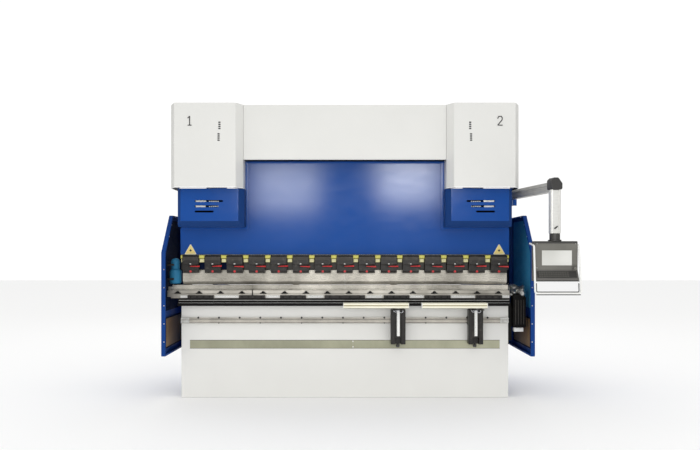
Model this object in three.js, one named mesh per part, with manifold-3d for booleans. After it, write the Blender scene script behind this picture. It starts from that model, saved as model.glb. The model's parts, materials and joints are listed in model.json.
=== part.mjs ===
// Hydraulic press brake, millimetres, +Z up.
// X runs along the bed, Y from the operator (-) to the back (+), and the bending line lies above Y = 0.
// The origin is the middle of the bed plate's bottom face, on the floor.
import * as THREE from 'three';
import { mergeVertices } from 'three/addons/utils/BufferGeometryUtils.js';
import Module from 'manifold-3d';

const wasm = await Module();
wasm.setup();

// ---- driving dimensions ----
const GAP = 0.4;
const ROUND = 32;

const BED_HALF = 1600;
const BED_TOP = 900;
const PLATE_HALF = 40;

const FRAME_INNER = 1325;
const FRAME_OUTER = 1375;
const FRAME_TOP = 2780;
const FRAME_BACK = 1300;
const FRAME_NOSE = 170;
const THROAT_BACK = 400;

const RAM_HALF = 1610;
const RAM_BOTTOM = 1395;
const RAM_SHOULDER = 1655;
const RAM_TOP = 2400;
const RAM_CROWN_HALF = 945;

const CYLINDER_X = 1317;
const ROD_RADIUS = 45;
const PISTON_RADIUS = 100;
const CYLINDER_RADIUS = 130;
const CYLINDER_BOTTOM = 2080;
const CYLINDER_TOP = 2640;

const COVER_FRONT = -300;
const COVER_BOTTOM = 2033;
const COVER_TOP = 2833;
const COVER_BACK = 165;
const PANEL_FRONT = -200;
const PANEL_BOTTOM = 2311;
const SHEET = 4;

const CLAMP_COUNT = 15;
const CLAMP_PITCH = 213.9;
const CLAMP_WIDTH = 156;
const CLAMP_BOTTOM = 1221;
const CLAMP_TOP = 1388;
const CLAMP_BAR_BOTTOM = 1250;
const CLAMP_BAR_FRONT = -44;

const PUNCH_TIP = 1107;
const PUNCH_HALF = 1590;
const TANG_HALF = 6.5;

const HOLDER_TOP = 1050;
const DIE_TOP = 1103;
const TABLE_LEFT = -1625;
const TABLE_RIGHT = 1610;
const HOLDER_LEFT = -1700;
const TABLE_FRONT = -100;
const BLOCKS = [[0, 197], [505, 125], [904, 125], [1405, 125]];

const RAIL_LOW = 730;
const RAIL_HIGH = 784;
const RAIL_FRONT = -72;
const ARM_X = [515, 1263];
const ARM_PIVOT_Y = -215;
const ARM_LONG = 530;
const ARM_SHORT = 95;
const ARM_BOTTOM = 888;
const ARM_TOP = 941;
const BRACKET_LOW = 534;
const BRACKET_HIGH = 868;

const BOOM_PIVOT = [1700, 220];
const DROP_AT = [1860, -700];
const BOOM_LOW = 1958;
const BOOM_HIGH = 2046;
const PENDANT_TOP = 1520;
const PENDANT_HALF = 190;

const GUARD_X = 1745;
const GUARD_DEPTH = 40;
const GUARD_PIN = [1755, 672];
const GUARD_FLANGE = 105;
const GUARD_RIGHT_OFFSET = 62;
const HINGE_LOW = [600, 1500];

const TANK_Y = [175, 600];
const TANK_Z = [2250, 2700];
const HATCH_X = [-800, -400];
const HATCH_Y = [260, 520];
const TANK_WALL = 8;

const GAUGE_RAIL_TOP = 872;
const GAUGE_BEAM_TOP = 990;
const FINGER_X = 500;

const CABINET_X = 1700;
const CABINET_Y = [760, 1260];
const CABINET_Z = [500, 2100];

// ---- materials ----
function paint(color, roughness, metalness) {
  return new THREE.MeshStandardMaterial({ color, roughness, metalness });
}

const BLUE = paint(0x1c4596, 0.4, 0.1);
const WHITE = paint(0xe4e3e0, 0.45, 0.05);
const BLACK = paint(0x26231f, 0.5, 0.3);
const STEEL = paint(0xa8a298, 0.35, 0.9);
const CHROME = paint(0xd8dadc, 0.12, 1.0);
const ALUMINIUM = paint(0xd2d0c4, 0.35, 0.8);
const GREY = paint(0x5b5a57, 0.5, 0.1);

// ---- solids ----
function block([x0, x1], [y0, y1], [z0, z1]) {
  const geometry = new THREE.BoxGeometry(x1 - x0, y1 - y0, z1 - z0);
  return geometry.translate((x0 + x1) / 2, (y0 + y1) / 2, (z0 + z1) / 2);
}

function extrusion(points, depth) {
  const shape = new THREE.Shape(points.map(([a, b]) => new THREE.Vector2(a, b)));
  return new THREE.ExtrudeGeometry(shape, { depth, bevelEnabled: false });
}

// An outline in X and Y, raised from z0 to z1.
function upright(points, [z0, z1]) {
  return extrusion(points, z1 - z0).translate(0, 0, z0);
}

// An outline in Y and Z, run along X from x0 to x1.
function along(points, [x0, x1]) {
  const turn = new THREE.Matrix4().makeBasis(
    new THREE.Vector3(0, 1, 0),
    new THREE.Vector3(0, 0, 1),
    new THREE.Vector3(1, 0, 0),
  );
  return extrusion(points, x1 - x0).applyMatrix4(turn).translate(x0, 0, 0);
}

// An outline in X and Z, run back along Y from y0 to y1.
function facing(points, [y0, y1]) {
  return extrusion(points, y1 - y0).rotateX(Math.PI / 2).translate(0, y1, 0);
}

function post([x, y], radius, [z0, z1]) {
  const geometry = new THREE.CylinderGeometry(radius, radius, z1 - z0, ROUND);
  return geometry.rotateX(Math.PI / 2).translate(x, y, (z0 + z1) / 2);
}

// A turned part: pairs of radius and height from the bottom up, starting and ending on the axis.
function turned(profile) {
  const points = profile.map(([radius, z]) => new THREE.Vector2(radius, z));
  return new THREE.LatheGeometry(points, ROUND).rotateX(Math.PI / 2);
}

function solid(geometry) {
  const bare = geometry.clone();
  bare.deleteAttribute('normal');
  bare.deleteAttribute('uv');
  const welded = mergeVertices(bare, 1e-3);
  return new wasm.Manifold(new wasm.Mesh({
    numProp: 3,
    vertProperties: new Float32Array(welded.attributes.position.array),
    triVerts: new Uint32Array(welded.index.array),
  }));
}

function surface(body) {
  const mesh = body.getMesh();
  const geometry = new THREE.BufferGeometry();
  geometry.setAttribute('position', new THREE.BufferAttribute(mesh.vertProperties, 3));
  geometry.setIndex(new THREE.BufferAttribute(mesh.triVerts, 1));
  return geometry;
}

function join(first, ...others) {
  return surface(others.reduce((body, other) => body.add(solid(other)), solid(first)));
}

function cut(first, ...others) {
  return surface(others.reduce((body, other) => body.subtract(solid(other)), solid(first)));
}

// ---- frame ----
// A C-shaped side plate with a foot flange and two arms that carry the guard's hinge pins.
function sideFrame(offset) {
  const pin = [GUARD_PIN[0] + offset, GUARD_PIN[1]];
  const plate = along([
    [PLATE_HALF + GAP, 0],
    [FRAME_BACK, 0],
    [FRAME_BACK, 700],
    [1000, 1250],
    [1000, FRAME_TOP],
    [FRAME_NOSE, FRAME_TOP],
    [FRAME_NOSE, 1700],
    [THROAT_BACK, 1580],
    [THROAT_BACK, 960],
    [300, 860],
    [PLATE_HALF + GAP, 860],
  ], [FRAME_INNER, FRAME_OUTER]);
  const foot = block([FRAME_INNER - 60, FRAME_OUTER + 60], [PLATE_HALF + GAP, FRAME_BACK], [0, 25]);
  const arms = HINGE_LOW.flatMap((low) => [
    block([FRAME_OUTER - 10, pin[0] + 18], [655, 725], [low, low + 57]),
    post(pin, 10, [low + 50, low + 145]),
  ]);
  return join(plate, foot, ...arms);
}

function bedPlate() {
  return block([-BED_HALF, BED_HALF], [-PLATE_HALF, PLATE_HALF], [0, BED_TOP]);
}

// Table, die holder and the clamp blocks on its front, one casting.
function dieTable() {
  const base = along([
    [TABLE_FRONT, BED_TOP + GAP],
    [80, BED_TOP + GAP],
    [80, 935],
    [45, 935],
    [45, 980],
    [-45, 980],
    [-45, 972],
    [-78, 972],
    [-78, 950],
    [-88, 950],
    [-88, 928],
    [TABLE_FRONT, 928],
  ], [TABLE_LEFT, TABLE_RIGHT]);
  const holder = block([HOLDER_LEFT, TABLE_RIGHT], [-50, 50], [965, HOLDER_TOP]);
  const blocks = BLOCKS.flatMap(([middle, half]) => [...new Set([-middle, middle])].map((x) => (
    block([x - half, x + half], [-90, -45], [960, 1003])
  )));
  return join(base, holder, ...blocks);
}

function die() {
  return along([
    [-30, HOLDER_TOP + GAP],
    [30, HOLDER_TOP + GAP],
    [30, DIE_TOP],
    [12, DIE_TOP],
    [0, DIE_TOP - 13],
    [-12, DIE_TOP],
    [-30, DIE_TOP],
  ], [HOLDER_LEFT + 10, BED_HALF]);
}

// Sheet panel between the cylinder covers, folded back along its top and bottom.
function topPanel() {
  const width = [-970, 970];
  const sheet = block(width, [PANEL_FRONT, PANEL_FRONT + SHEET], [PANEL_BOTTOM, COVER_TOP]);
  const roof = block(width, [PANEL_FRONT, COVER_BACK], [COVER_TOP - SHEET, COVER_TOP]);
  const lip = block(width, [PANEL_FRONT, -60], [PANEL_BOTTOM, PANEL_BOTTOM + SHEET]);
  return join(sheet, roof, lip);
}

// Plan outline of the cylinder cover, moved inwards by inset and open at the back.
function coverPlan(inset, back) {
  return [
    [972 + inset, back],
    [972 + inset, PANEL_FRONT + inset * 0.3],
    [1030 + inset * 0.6, COVER_FRONT + inset],
    [1610 - inset * 0.5, COVER_FRONT + inset],
    [1668 - inset, COVER_FRONT + 125 + inset * 0.4],
    [1668 - inset, back],
  ];
}

function cylinderCover() {
  const outside = upright(coverPlan(0, COVER_BACK), [COVER_BOTTOM, COVER_TOP]);
  const inside = upright(coverPlan(SHEET, COVER_BACK + 5), [COVER_BOTTOM - 5, COVER_TOP - SHEET]);
  return cut(outside, inside);
}

// Blue cover in front of the piston rod: its inner side and its bottom are bevelled.
function rodCoverShape(inset, top, back) {
  const low = 1665 + inset;
  const plan = upright([
    [964 + inset, back],
    [964 + inset, -185],
    [1015 + inset * 0.5, -230 + inset],
    [1564 - inset * 0.5, -230 + inset],
    [1598 - inset, -205 + inset * 0.5],
    [1598 - inset, back],
  ], [low, top]);
  const bevel = along([
    [-250, 1742 + inset * 1.3],
    [-250, 1600],
    [-120.9, 1600 + inset * 1.3],
  ], [900, 1700]);
  return cut(plan, bevel);
}

function rodCover() {
  const slots = [[270, 1910], [228, 1858], [180, 1810]].map(([length, z]) => (
    block([1430 - length, 1430], [-260, -190], [z - 9, z + 9])
  ));
  const outside = rodCoverShape(0, 2030, -60);
  const inside = rodCoverShape(SHEET, 2040, -50);
  return cut(outside, inside, ...slots);
}

// Cylinder with its bore, its rod gland, a mounting pad and the valve block on top.
function cylinder() {
  const axis = [CYLINDER_X, 0];
  const body = join(
    post(axis, CYLINDER_RADIUS, [CYLINDER_BOTTOM, CYLINDER_TOP]),
    block([CYLINDER_X - 90, CYLINDER_X + 90], [60, FRAME_NOSE - GAP], [2110, 2600]),
    block([CYLINDER_X - 70, CYLINDER_X + 70], [-70, 70], [CYLINDER_TOP - 5, 2760]),
  );
  const bore = post(axis, PISTON_RADIUS + 2, [CYLINDER_BOTTOM + 30, 2440]);
  const gland = post(axis, ROD_RADIUS + 2, [CYLINDER_BOTTOM - 5, CYLINDER_BOTTOM + 40]);
  return cut(body, bore, gland);
}

function pistonRod() {
  const low = RAM_SHOULDER + GAP;
  const profile = [
    [0, low],
    [55, low],
    [55, low + 35],
    [ROD_RADIUS, low + 35],
    [ROD_RADIUS, 2150],
    [PISTON_RADIUS, 2150],
    [PISTON_RADIUS, 2200],
    [0, 2200],
  ];
  return turned(profile).translate(CYLINDER_X, 0, 0);
}

// Guide bolted to the outer face of the side plate, bearing on the back of the ram.
function ramGuide() {
  return block([FRAME_OUTER + GAP, 1470], [PLATE_HALF + GAP, 260], [1480, 1880]);
}

// Welded tank between the side plates, with a service hatch open in its lid.
function oilTank() {
  const inner = FRAME_INNER - TANK_WALL - 1;
  const shell = block([-FRAME_INNER + GAP, FRAME_INNER - GAP], TANK_Y, TANK_Z);
  const hollow = block(
    [-inner, inner],
    [TANK_Y[0] + TANK_WALL, TANK_Y[1] - TANK_WALL],
    [TANK_Z[0] + TANK_WALL, TANK_Z[1] - TANK_WALL],
  );
  const hatch = block(HATCH_X, HATCH_Y, [TANK_Z[1] - 20, TANK_Z[1] + 5]);
  return cut(shell, hollow, hatch);
}

function pumpMotor() {
  const body = new THREE.CylinderGeometry(110, 110, 400, ROUND);
  body.rotateZ(Math.PI / 2).translate(300, 735, 2520);
  const cowl = new THREE.CylinderGeometry(118, 118, 80, ROUND);
  cowl.rotateZ(Math.PI / 2).translate(500, 735, 2520);
  const pump = new THREE.CylinderGeometry(70, 70, 160, ROUND);
  pump.rotateZ(Math.PI / 2).translate(40, 735, 2520);
  const foot = block([160, 440], [TANK_Y[1] + GAP, 790], [2385, 2425]);
  const terminals = block([250, 350], [690, 780], [2610, 2680]);
  return join(body, cowl, pump, foot, terminals);
}

// ---- ram and its tools ----
function ram() {
  return facing([
    [-RAM_HALF, RAM_BOTTOM],
    [RAM_HALF, RAM_BOTTOM],
    [RAM_HALF, RAM_SHOULDER],
    [RAM_CROWN_HALF, RAM_SHOULDER],
    [RAM_CROWN_HALF, RAM_TOP],
    [-RAM_CROWN_HALF, RAM_TOP],
    [-RAM_CROWN_HALF, RAM_SHOULDER],
    [-RAM_HALF, RAM_SHOULDER],
  ], [-PLATE_HALF, PLATE_HALF]);
}

// Bar under the ram, with the slot that takes the punches' tangs.
function clampBar() {
  const slot = TANG_HALF + 1;
  return along([
    [CLAMP_BAR_FRONT, CLAMP_BAR_BOTTOM],
    [-slot, CLAMP_BAR_BOTTOM],
    [-slot, 1288],
    [slot, 1288],
    [slot, CLAMP_BAR_BOTTOM],
    [PLATE_HALF, CLAMP_BAR_BOTTOM],
    [PLATE_HALF, RAM_BOTTOM - GAP],
    [CLAMP_BAR_FRONT, RAM_BOTTOM - GAP],
  ], [-BED_HALF, BED_HALF]);
}

function punchClamp() {
  const back = CLAMP_BAR_FRONT - GAP;
  const plate = along([
    [back, CLAMP_BOTTOM + 6],
    [back, CLAMP_TOP],
    [-96, CLAMP_TOP],
    [-104, CLAMP_TOP - 8],
    [-104, 1305],
    [-98, 1296],
    [-98, 1240],
    [-86, CLAMP_BOTTOM],
    [-60, CLAMP_BOTTOM],
  ], [-CLAMP_WIDTH / 2, CLAMP_WIDTH / 2]);
  const pocket = block([-22, CLAMP_WIDTH], [-110, -90], [1277, 1294]);
  return cut(plate, pocket);
}

function punch() {
  return along([
    [-1, PUNCH_TIP],
    [1, PUNCH_TIP],
    [22, 1138],
    [22, CLAMP_BAR_BOTTOM - 3],
    [TANG_HALF, CLAMP_BAR_BOTTOM - 3],
    [TANG_HALF, 1285],
    [-TANG_HALF, 1285],
    [-TANG_HALF, CLAMP_BAR_BOTTOM - 3],
    [-22, CLAMP_BAR_BOTTOM - 3],
    [-22, 1138],
  ], [GAP, PUNCH_HALF]);
}

// ---- front supports ----
function supportRail() {
  return along([
    [-PLATE_HALF - GAP, RAIL_LOW + 6],
    [-PLATE_HALF - GAP, RAIL_HIGH - 6],
    [-50, RAIL_HIGH - 6],
    [-50, RAIL_HIGH],
    [RAIL_FRONT, RAIL_HIGH],
    [RAIL_FRONT, RAIL_LOW],
    [-50, RAIL_LOW],
    [-50, RAIL_LOW + 6],
  ], [-BED_HALF, BED_HALF - 15]);
}

// Bracket that hooks over the rail, with a channel down its front for the slider.
function armBracket() {
  const body = block([-70, 70], [-155, RAIL_FRONT - 3], [BRACKET_LOW, BRACKET_HIGH]);
  const hooks = [[RAIL_HIGH + 2, RAIL_HIGH + 16], [RAIL_LOW - 16, RAIL_LOW - 2]].map((height) => (
    block([-70, 70], [RAIL_FRONT - 10, -53], height)
  ));
  const channel = block([-30, 30], [-160, -104], [BRACKET_LOW - 5, BRACKET_HIGH + 5]);
  return cut(join(body, ...hooks), channel);
}

function armSlider() {
  const stem = block([-29, 29], [-153, -105], [600, BRACKET_HIGH + 2]);
  const head = block([-60, 60], [-262, -105], [BRACKET_HIGH + 1, BRACKET_HIGH + 12]);
  return join(stem, head);
}

// Extruded support arm with a slot along its top and its front, on a pivot boss.
function supportArm() {
  const middle = (ARM_BOTTOM + ARM_TOP) / 2;
  const profile = along([
    [-40, ARM_BOTTOM],
    [40, ARM_BOTTOM],
    [40, ARM_TOP],
    [6, ARM_TOP],
    [6, ARM_TOP - 10],
    [-6, ARM_TOP - 10],
    [-6, ARM_TOP],
    [-40, ARM_TOP],
    [-40, middle + 4],
    [-33, middle + 4],
    [-33, middle - 4],
    [-40, middle - 4],
  ], [-ARM_LONG, ARM_SHORT]);
  const boss = post([0, 0], 28, [BRACKET_HIGH + 12 + GAP, ARM_BOTTOM + 2]);
  return join(profile, boss);
}

function lockKnob() {
  const top = BRACKET_LOW - GAP;
  return turned([
    [0, top - 32],
    [17, top - 30],
    [17, top - 15],
    [7, top - 12],
    [7, top],
    [0, top],
  ]);
}

// ---- back gauge ----
function gaugeRail() {
  const body = block([1244, FRAME_INNER - GAP], [150, 950], [780, 860]);
  const track = block([1268, 1302], [150, 950], [855, GAUGE_RAIL_TOP]);
  return join(body, track);
}

function gaugeBeam() {
  const beam = block([-1300, 1300], [270, 350], [900, GAUGE_BEAM_TOP]);
  const feet = [-1, 1].map((side) => (
    block([side * 1285 - 30, side * 1285 + 30], [262, 358], [GAUGE_RAIL_TOP + 1, 905])
  ));
  return join(beam, ...feet);
}

function gaugeFinger() {
  const low = GAUGE_BEAM_TOP + 0.6;
  return along([
    [262, low],
    [350, low],
    [350, 1050],
    [310, 1130],
    [80, 1130],
    [80, 1107],
    [235, 1107],
    [262, 1080],
  ], [-30, 30]);
}

// ---- pendant ----
function pendantBracket() {
  return join(
    block([FRAME_OUTER + GAP, BOOM_PIVOT[0]], [185, 255], [1895, 1945]),
    post(BOOM_PIVOT, 45, [1895, BOOM_LOW - GAP]),
    post(BOOM_PIVOT, 20, [1940, 2010]),
  );
}

// Boom along local -Y from its pivot, ending in the elbow that carries the drop tube.
function pendantBoom(length) {
  const body = join(
    post([0, 0], 45, [BOOM_LOW, BOOM_HIGH]),
    block([-30, 30], [-length + 40, 0], [BOOM_LOW, BOOM_HIGH]),
    block([-50, 50], [-length - 50, -length + 50], [1975, 2080]),
  );
  return cut(body, post([0, 0], 21, [BOOM_LOW - 5, 2020]));
}

function dropTube() {
  return post(DROP_AT, 40, [PENDANT_TOP + 68, 1975 - GAP]);
}

function pendantCase() {
  const [x, y] = DROP_AT;
  const shell = along([
    [y + 60, PENDANT_TOP],
    [y - 35, PENDANT_TOP],
    [y - 45, PENDANT_TOP - 10],
    [y - 45, 1250],
    [y - 85, 1185],
    [y - 85, 1167],
    [y + 60, 1167],
  ], [x - PENDANT_HALF, x + PENDANT_HALF]);
  return join(shell, post(DROP_AT, 48, [PENDANT_TOP - 5, PENDANT_TOP + 68 - GAP]));
}

// Mushroom head on a short stem, pressed towards the case.
function startButton() {
  return turned([
    [0, -25],
    [12, -25],
    [17, -20],
    [17, -14],
    [8, -10],
    [8, 0],
    [0, 0],
  ]);
}

// ---- guards and cabinet ----
function guardOutline(inset) {
  return [
    [-250 + inset, 430 + inset],
    [650 - inset, 430 + inset],
    [650 - inset, 1787 - inset],
    [63 + inset * 0.5, 1787 - inset],
    [-250 + inset, 1420 - inset * 0.5],
  ];
}

// Folded side guard, open towards the machine, with a wide flange and two knuckles at its rear.
function guard() {
  const pan = cut(
    along(guardOutline(0), [GUARD_X - GUARD_DEPTH, GUARD_X]),
    along(guardOutline(3), [GUARD_X - GUARD_DEPTH - 5, GUARD_X - 3]),
  );
  const flange = block([GUARD_X - GUARD_FLANGE, GUARD_X - 3], [647, 650], [430, 1787]);
  const knuckles = HINGE_LOW.flatMap((low) => [
    post(GUARD_PIN, 19, [low + 60, low + 140]),
    block([GUARD_X - 10, GUARD_PIN[0] + 8], [640, 668], [low + 60, low + 140]),
  ]);
  const holes = HINGE_LOW.map((low) => post(GUARD_PIN, 11, [low + 55, low + 145]));
  return cut(join(pan, flange, ...knuckles), ...holes);
}

function electricalCabinet() {
  const [front, back] = CABINET_Y;
  const [low, high] = CABINET_Z;
  return cut(
    block([FRAME_OUTER + GAP, CABINET_X], CABINET_Y, CABINET_Z),
    block([FRAME_OUTER + 6, CABINET_X + 5], [front + SHEET, back - SHEET], [low + SHEET, high - SHEET]),
  );
}

function cabinetDoor() {
  const [front, back] = CABINET_Y;
  const [low, high] = CABINET_Z;
  const skin = block([CABINET_X + GAP, CABINET_X + 18], [front + 2, back - 2], [low + 2, high - 2]);
  return cut(skin, block([CABINET_X - 5, CABINET_X + 16], [front + 4, back - 4], [low + 4, high - 4]));
}

// ---- assembly ----
const machine = new THREE.Group();

function add(name, geometry, material, [x, y, z] = [0, 0, 0], parent = machine) {
  const mesh = new THREE.Mesh(geometry, material);
  mesh.name = name;
  mesh.position.set(x, y, z);
  parent.add(mesh);
  return mesh;
}

function addPair(name, geometry, material) {
  add(`${name}_right`, geometry, material);
  add(`${name}_left`, geometry, material).scale.x = -1;
}

add('side_frame_right', sideFrame(GUARD_RIGHT_OFFSET), BLUE);
add('side_frame_left', sideFrame(0), BLUE).scale.x = -1;
add('bed_plate', bedPlate(), WHITE);
add('die_table', dieTable(), BLACK);
add('die', die(), STEEL);
add('top_panel', topPanel(), WHITE);
addPair('cylinder_cover', cylinderCover(), WHITE);
addPair('rod_cover', rodCover(), BLUE);
addPair('cylinder', cylinder(), GREY);
addPair('ram_guide', ramGuide(), STEEL);
add('oil_tank', oilTank(), BLUE);
add('pump_motor', pumpMotor(), GREY);

add('ram', ram(), BLUE);
addPair('piston_rod', pistonRod(), CHROME);
add('clamp_bar', clampBar(), BLACK);
addPair('punch', punch(), STEEL);
const clampGeometry = punchClamp();
for (let index = 0; index < CLAMP_COUNT; index += 1) {
  const name = `punch_clamp_${String(index + 1).padStart(2, '0')}`;
  add(name, clampGeometry, BLACK, [(index - (CLAMP_COUNT - 1) / 2) * CLAMP_PITCH, 0, 0]);
}

add('support_rail', supportRail(), STEEL);
ARM_X.forEach((x, index) => {
  const number = index + 1;
  add(`arm_bracket_${number}`, armBracket(), BLACK, [x, 0, 0]);
  add(`arm_slider_${number}`, armSlider(), STEEL, [x, 0, 0]);
  add(`support_arm_${number}`, supportArm(), ALUMINIUM, [x, ARM_PIVOT_Y, 0]);
  add(`lock_knob_${number}`, lockKnob(), BLACK, [x, -90, 0]);
});

addPair('gauge_rail', gaugeRail(), STEEL);
add('gauge_beam', gaugeBeam(), ALUMINIUM);
add('gauge_finger_left', gaugeFinger(), STEEL, [-FINGER_X, 0, 0]);
add('gauge_finger_right', gaugeFinger(), STEEL, [FINGER_X, 0, 0]);

const boomRun = [DROP_AT[0] - BOOM_PIVOT[0], DROP_AT[1] - BOOM_PIVOT[1]];
const boomGroup = new THREE.Group();
boomGroup.position.set(BOOM_PIVOT[0], BOOM_PIVOT[1], 0);
boomGroup.rotation.z = Math.atan2(boomRun[0], -boomRun[1]);
machine.add(boomGroup);
add('pendant_bracket', pendantBracket(), GREY);
add('pendant_boom', pendantBoom(Math.hypot(...boomRun)), ALUMINIUM, [0, 0, 0], boomGroup);
add('drop_tube', dropTube(), ALUMINIUM);
add('pendant_case', pendantCase(), GREY);
const button = add('start_button', startButton(), GREY, [DROP_AT[0] + 162, DROP_AT[1] - 45 - 5, 1280]);
button.rotation.x = -Math.PI / 2;

add('guard_right', guard(), BLUE, [GUARD_RIGHT_OFFSET, 0, 0]);
add('guard_left', guard(), BLUE).scale.x = -1;
add('electrical_cabinet', electricalCabinet(), BLUE);
add('cabinet_door', cabinetDoor(), BLUE);

export default machine;
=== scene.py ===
# The looks of a hydraulic press brake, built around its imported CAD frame. Metres, +Z up.
import json
import math
import random

import bmesh
import bpy
from mathutils import Matrix, Vector

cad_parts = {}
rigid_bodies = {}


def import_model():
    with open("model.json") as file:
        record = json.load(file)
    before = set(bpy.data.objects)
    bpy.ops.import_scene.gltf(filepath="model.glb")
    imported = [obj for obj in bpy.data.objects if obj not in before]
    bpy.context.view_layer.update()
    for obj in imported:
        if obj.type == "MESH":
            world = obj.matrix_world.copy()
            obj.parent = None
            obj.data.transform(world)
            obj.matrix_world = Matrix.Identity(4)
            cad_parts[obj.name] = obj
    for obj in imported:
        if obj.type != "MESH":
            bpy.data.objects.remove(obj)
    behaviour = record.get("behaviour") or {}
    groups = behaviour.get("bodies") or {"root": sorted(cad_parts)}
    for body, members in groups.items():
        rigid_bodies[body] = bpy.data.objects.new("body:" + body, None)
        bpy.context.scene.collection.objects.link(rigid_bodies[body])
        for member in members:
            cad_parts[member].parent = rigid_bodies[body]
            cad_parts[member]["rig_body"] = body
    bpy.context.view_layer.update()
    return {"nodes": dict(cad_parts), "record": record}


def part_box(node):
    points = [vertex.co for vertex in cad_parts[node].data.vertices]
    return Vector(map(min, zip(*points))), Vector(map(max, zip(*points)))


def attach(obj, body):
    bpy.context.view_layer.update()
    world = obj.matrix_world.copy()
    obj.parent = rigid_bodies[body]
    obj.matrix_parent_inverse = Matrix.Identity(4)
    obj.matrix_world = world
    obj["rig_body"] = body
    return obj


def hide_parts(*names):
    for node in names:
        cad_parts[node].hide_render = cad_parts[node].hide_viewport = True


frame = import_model()
SCENE = bpy.context.scene
NODES = frame["nodes"]
SIDES = (("left", -1), ("right", 1))
CYLINDER_X = 1.317
CYLINDER_FOOT = 2.0805


# ---- camera, light and floor ----
ROOM_LIGHT = 1.0
ROOM_GLOSS = 0.14
BACKDROP_LIGHT = 1.05
EYE = (0, -7.0, 1.415)


def studio():
    camera = bpy.data.objects.new("camera", bpy.data.cameras.new("camera"))
    SCENE.collection.objects.link(camera)
    camera.location = EYE
    camera.rotation_euler = (math.pi / 2, 0, 0)
    camera.data.lens = 36.56
    camera.data.shift_x = 0.0074
    camera.data.shift_y = 0.04
    SCENE.camera = camera
    SCENE.view_settings.view_transform = "Standard"

    world = bpy.data.worlds.new("studio")
    SCENE.world = world
    world.use_nodes = True
    tree = world.node_tree
    path = tree.nodes.new("ShaderNodeLightPath")
    shown = None
    for ray, colour, strength in (
        (None, (1.0, 1.0, 1.0, 1.0), ROOM_LIGHT),
        ("Is Glossy Ray", (1.0, 1.0, 1.0, 1.0), ROOM_GLOSS),
        ("Is Camera Ray", (1.0, 1.0, 0.995, 1.0), BACKDROP_LIGHT),
    ):
        light = tree.nodes.new("ShaderNodeBackground")
        light.inputs["Color"].default_value = colour
        light.inputs["Strength"].default_value = strength
        if ray is None:
            shown = light.outputs["Background"]
            continue
        choice = tree.nodes.new("ShaderNodeMixShader")
        tree.links.new(path.outputs[ray], choice.inputs["Fac"])
        tree.links.new(shown, choice.inputs[1])
        tree.links.new(light.outputs["Background"], choice.inputs[2])
        shown = choice.outputs["Shader"]
    tree.links.new(shown, tree.nodes["World Output"].inputs["Surface"])

    # Two cards in front, above eye level: their reflections lie on the upper ram.
    for name, x, z, width, power in (
        ("card_left", -1.16, 2.74, 1.25, 62),
        ("card_right", 1.26, 2.90, 1.15, 84),
    ):
        card = area_light(name, (x, -7.2, z), (0, 0, 2.0), (width, 0.95), power)
        card.visible_diffuse = False
    front = area_light("front", (0, -7.5, 1.1), (0, 0, 0.5), (7.0, 1.8), 70)
    front.visible_glossy = False
    area_light("overhead", (0, -1.0, 9.0), (0, 0, 1.0), (10.0, 8.0), 60)
    area_light("back_fill", (0, 7.0, 5.0), (0, 0, 1.2), (6.0, 3.0), 40)

    bpy.ops.mesh.primitive_plane_add(size=60, location=(0, 0, -0.001))
    floor = bpy.context.object
    floor.name = "floor"
    floor.data.materials.append(plain_material("floor", (0.97, 0.97, 0.965), 0.95))


def area_light(name, place, target, size, power):
    light = bpy.data.lights.new(name, "AREA")
    light.shape = "RECTANGLE"
    light.size, light.size_y = size
    light.energy = power
    lamp = bpy.data.objects.new(name, light)
    SCENE.collection.objects.link(lamp)
    lamp.location = place
    aim = Vector(target) - Vector(place)
    lamp.rotation_euler = aim.to_track_quat("-Z", "Y").to_euler()
    return lamp


# ---- materials ----
def blank_material(name):
    material = bpy.data.materials.new(name)
    material.use_nodes = True
    tree = material.node_tree
    return material, tree, tree.nodes["Principled BSDF"]


def plain_material(name, colour, roughness):
    material, _, shader = blank_material(name)
    shader.inputs["Base Color"].default_value = (*colour, 1)
    shader.inputs["Roughness"].default_value = roughness
    return material


def noise(tree, scale, stretch=(1, 1, 1), detail=3.0, roughness=0.55):
    """Noise in the object's own metres, so it stays on the piece when it moves."""
    where = tree.nodes.new("ShaderNodeTexCoord")
    mapping = tree.nodes.new("ShaderNodeMapping")
    mapping.inputs["Scale"].default_value = stretch
    texture = tree.nodes.new("ShaderNodeTexNoise")
    texture.inputs["Scale"].default_value = scale
    texture.inputs["Detail"].default_value = detail
    texture.inputs["Roughness"].default_value = roughness
    tree.links.new(where.outputs["Object"], mapping.inputs["Vector"])
    tree.links.new(mapping.outputs["Vector"], texture.inputs["Vector"])
    return texture.outputs["Fac"]


def ramp(tree, factor, stops):
    node = tree.nodes.new("ShaderNodeValToRGB")
    elements = node.color_ramp.elements
    while len(elements) < len(stops):
        elements.new(0.5)
    for element, (place, colour) in zip(elements, stops):
        element.position = place
        element.color = (*colour, 1)
    tree.links.new(factor, node.inputs["Fac"])
    return node.outputs["Color"]


def shade(colour, factor):
    return tuple(min(1.0, channel * factor) for channel in colour)


def grey(value):
    return (value, value, value)


def tint(tree, shader, texture, stops):
    tree.links.new(ramp(tree, texture, stops), shader.inputs["Base Color"])


def polish(tree, shader, texture, roughness, smooth, rough):
    """Roughness that wanders with a texture; smooth and rough are (place, factor) pairs."""
    stops = [(place, grey(roughness * factor)) for place, factor in (smooth, rough)]
    tree.links.new(ramp(tree, texture, stops), shader.inputs["Roughness"])


def bump(tree, shader, height, distance, strength=1.0):
    node = tree.nodes.new("ShaderNodeBump")
    node.inputs["Distance"].default_value = distance
    node.inputs["Strength"].default_value = strength
    tree.links.new(height, node.inputs["Height"])
    tree.links.new(node.outputs["Normal"], shader.inputs["Normal"])


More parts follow.
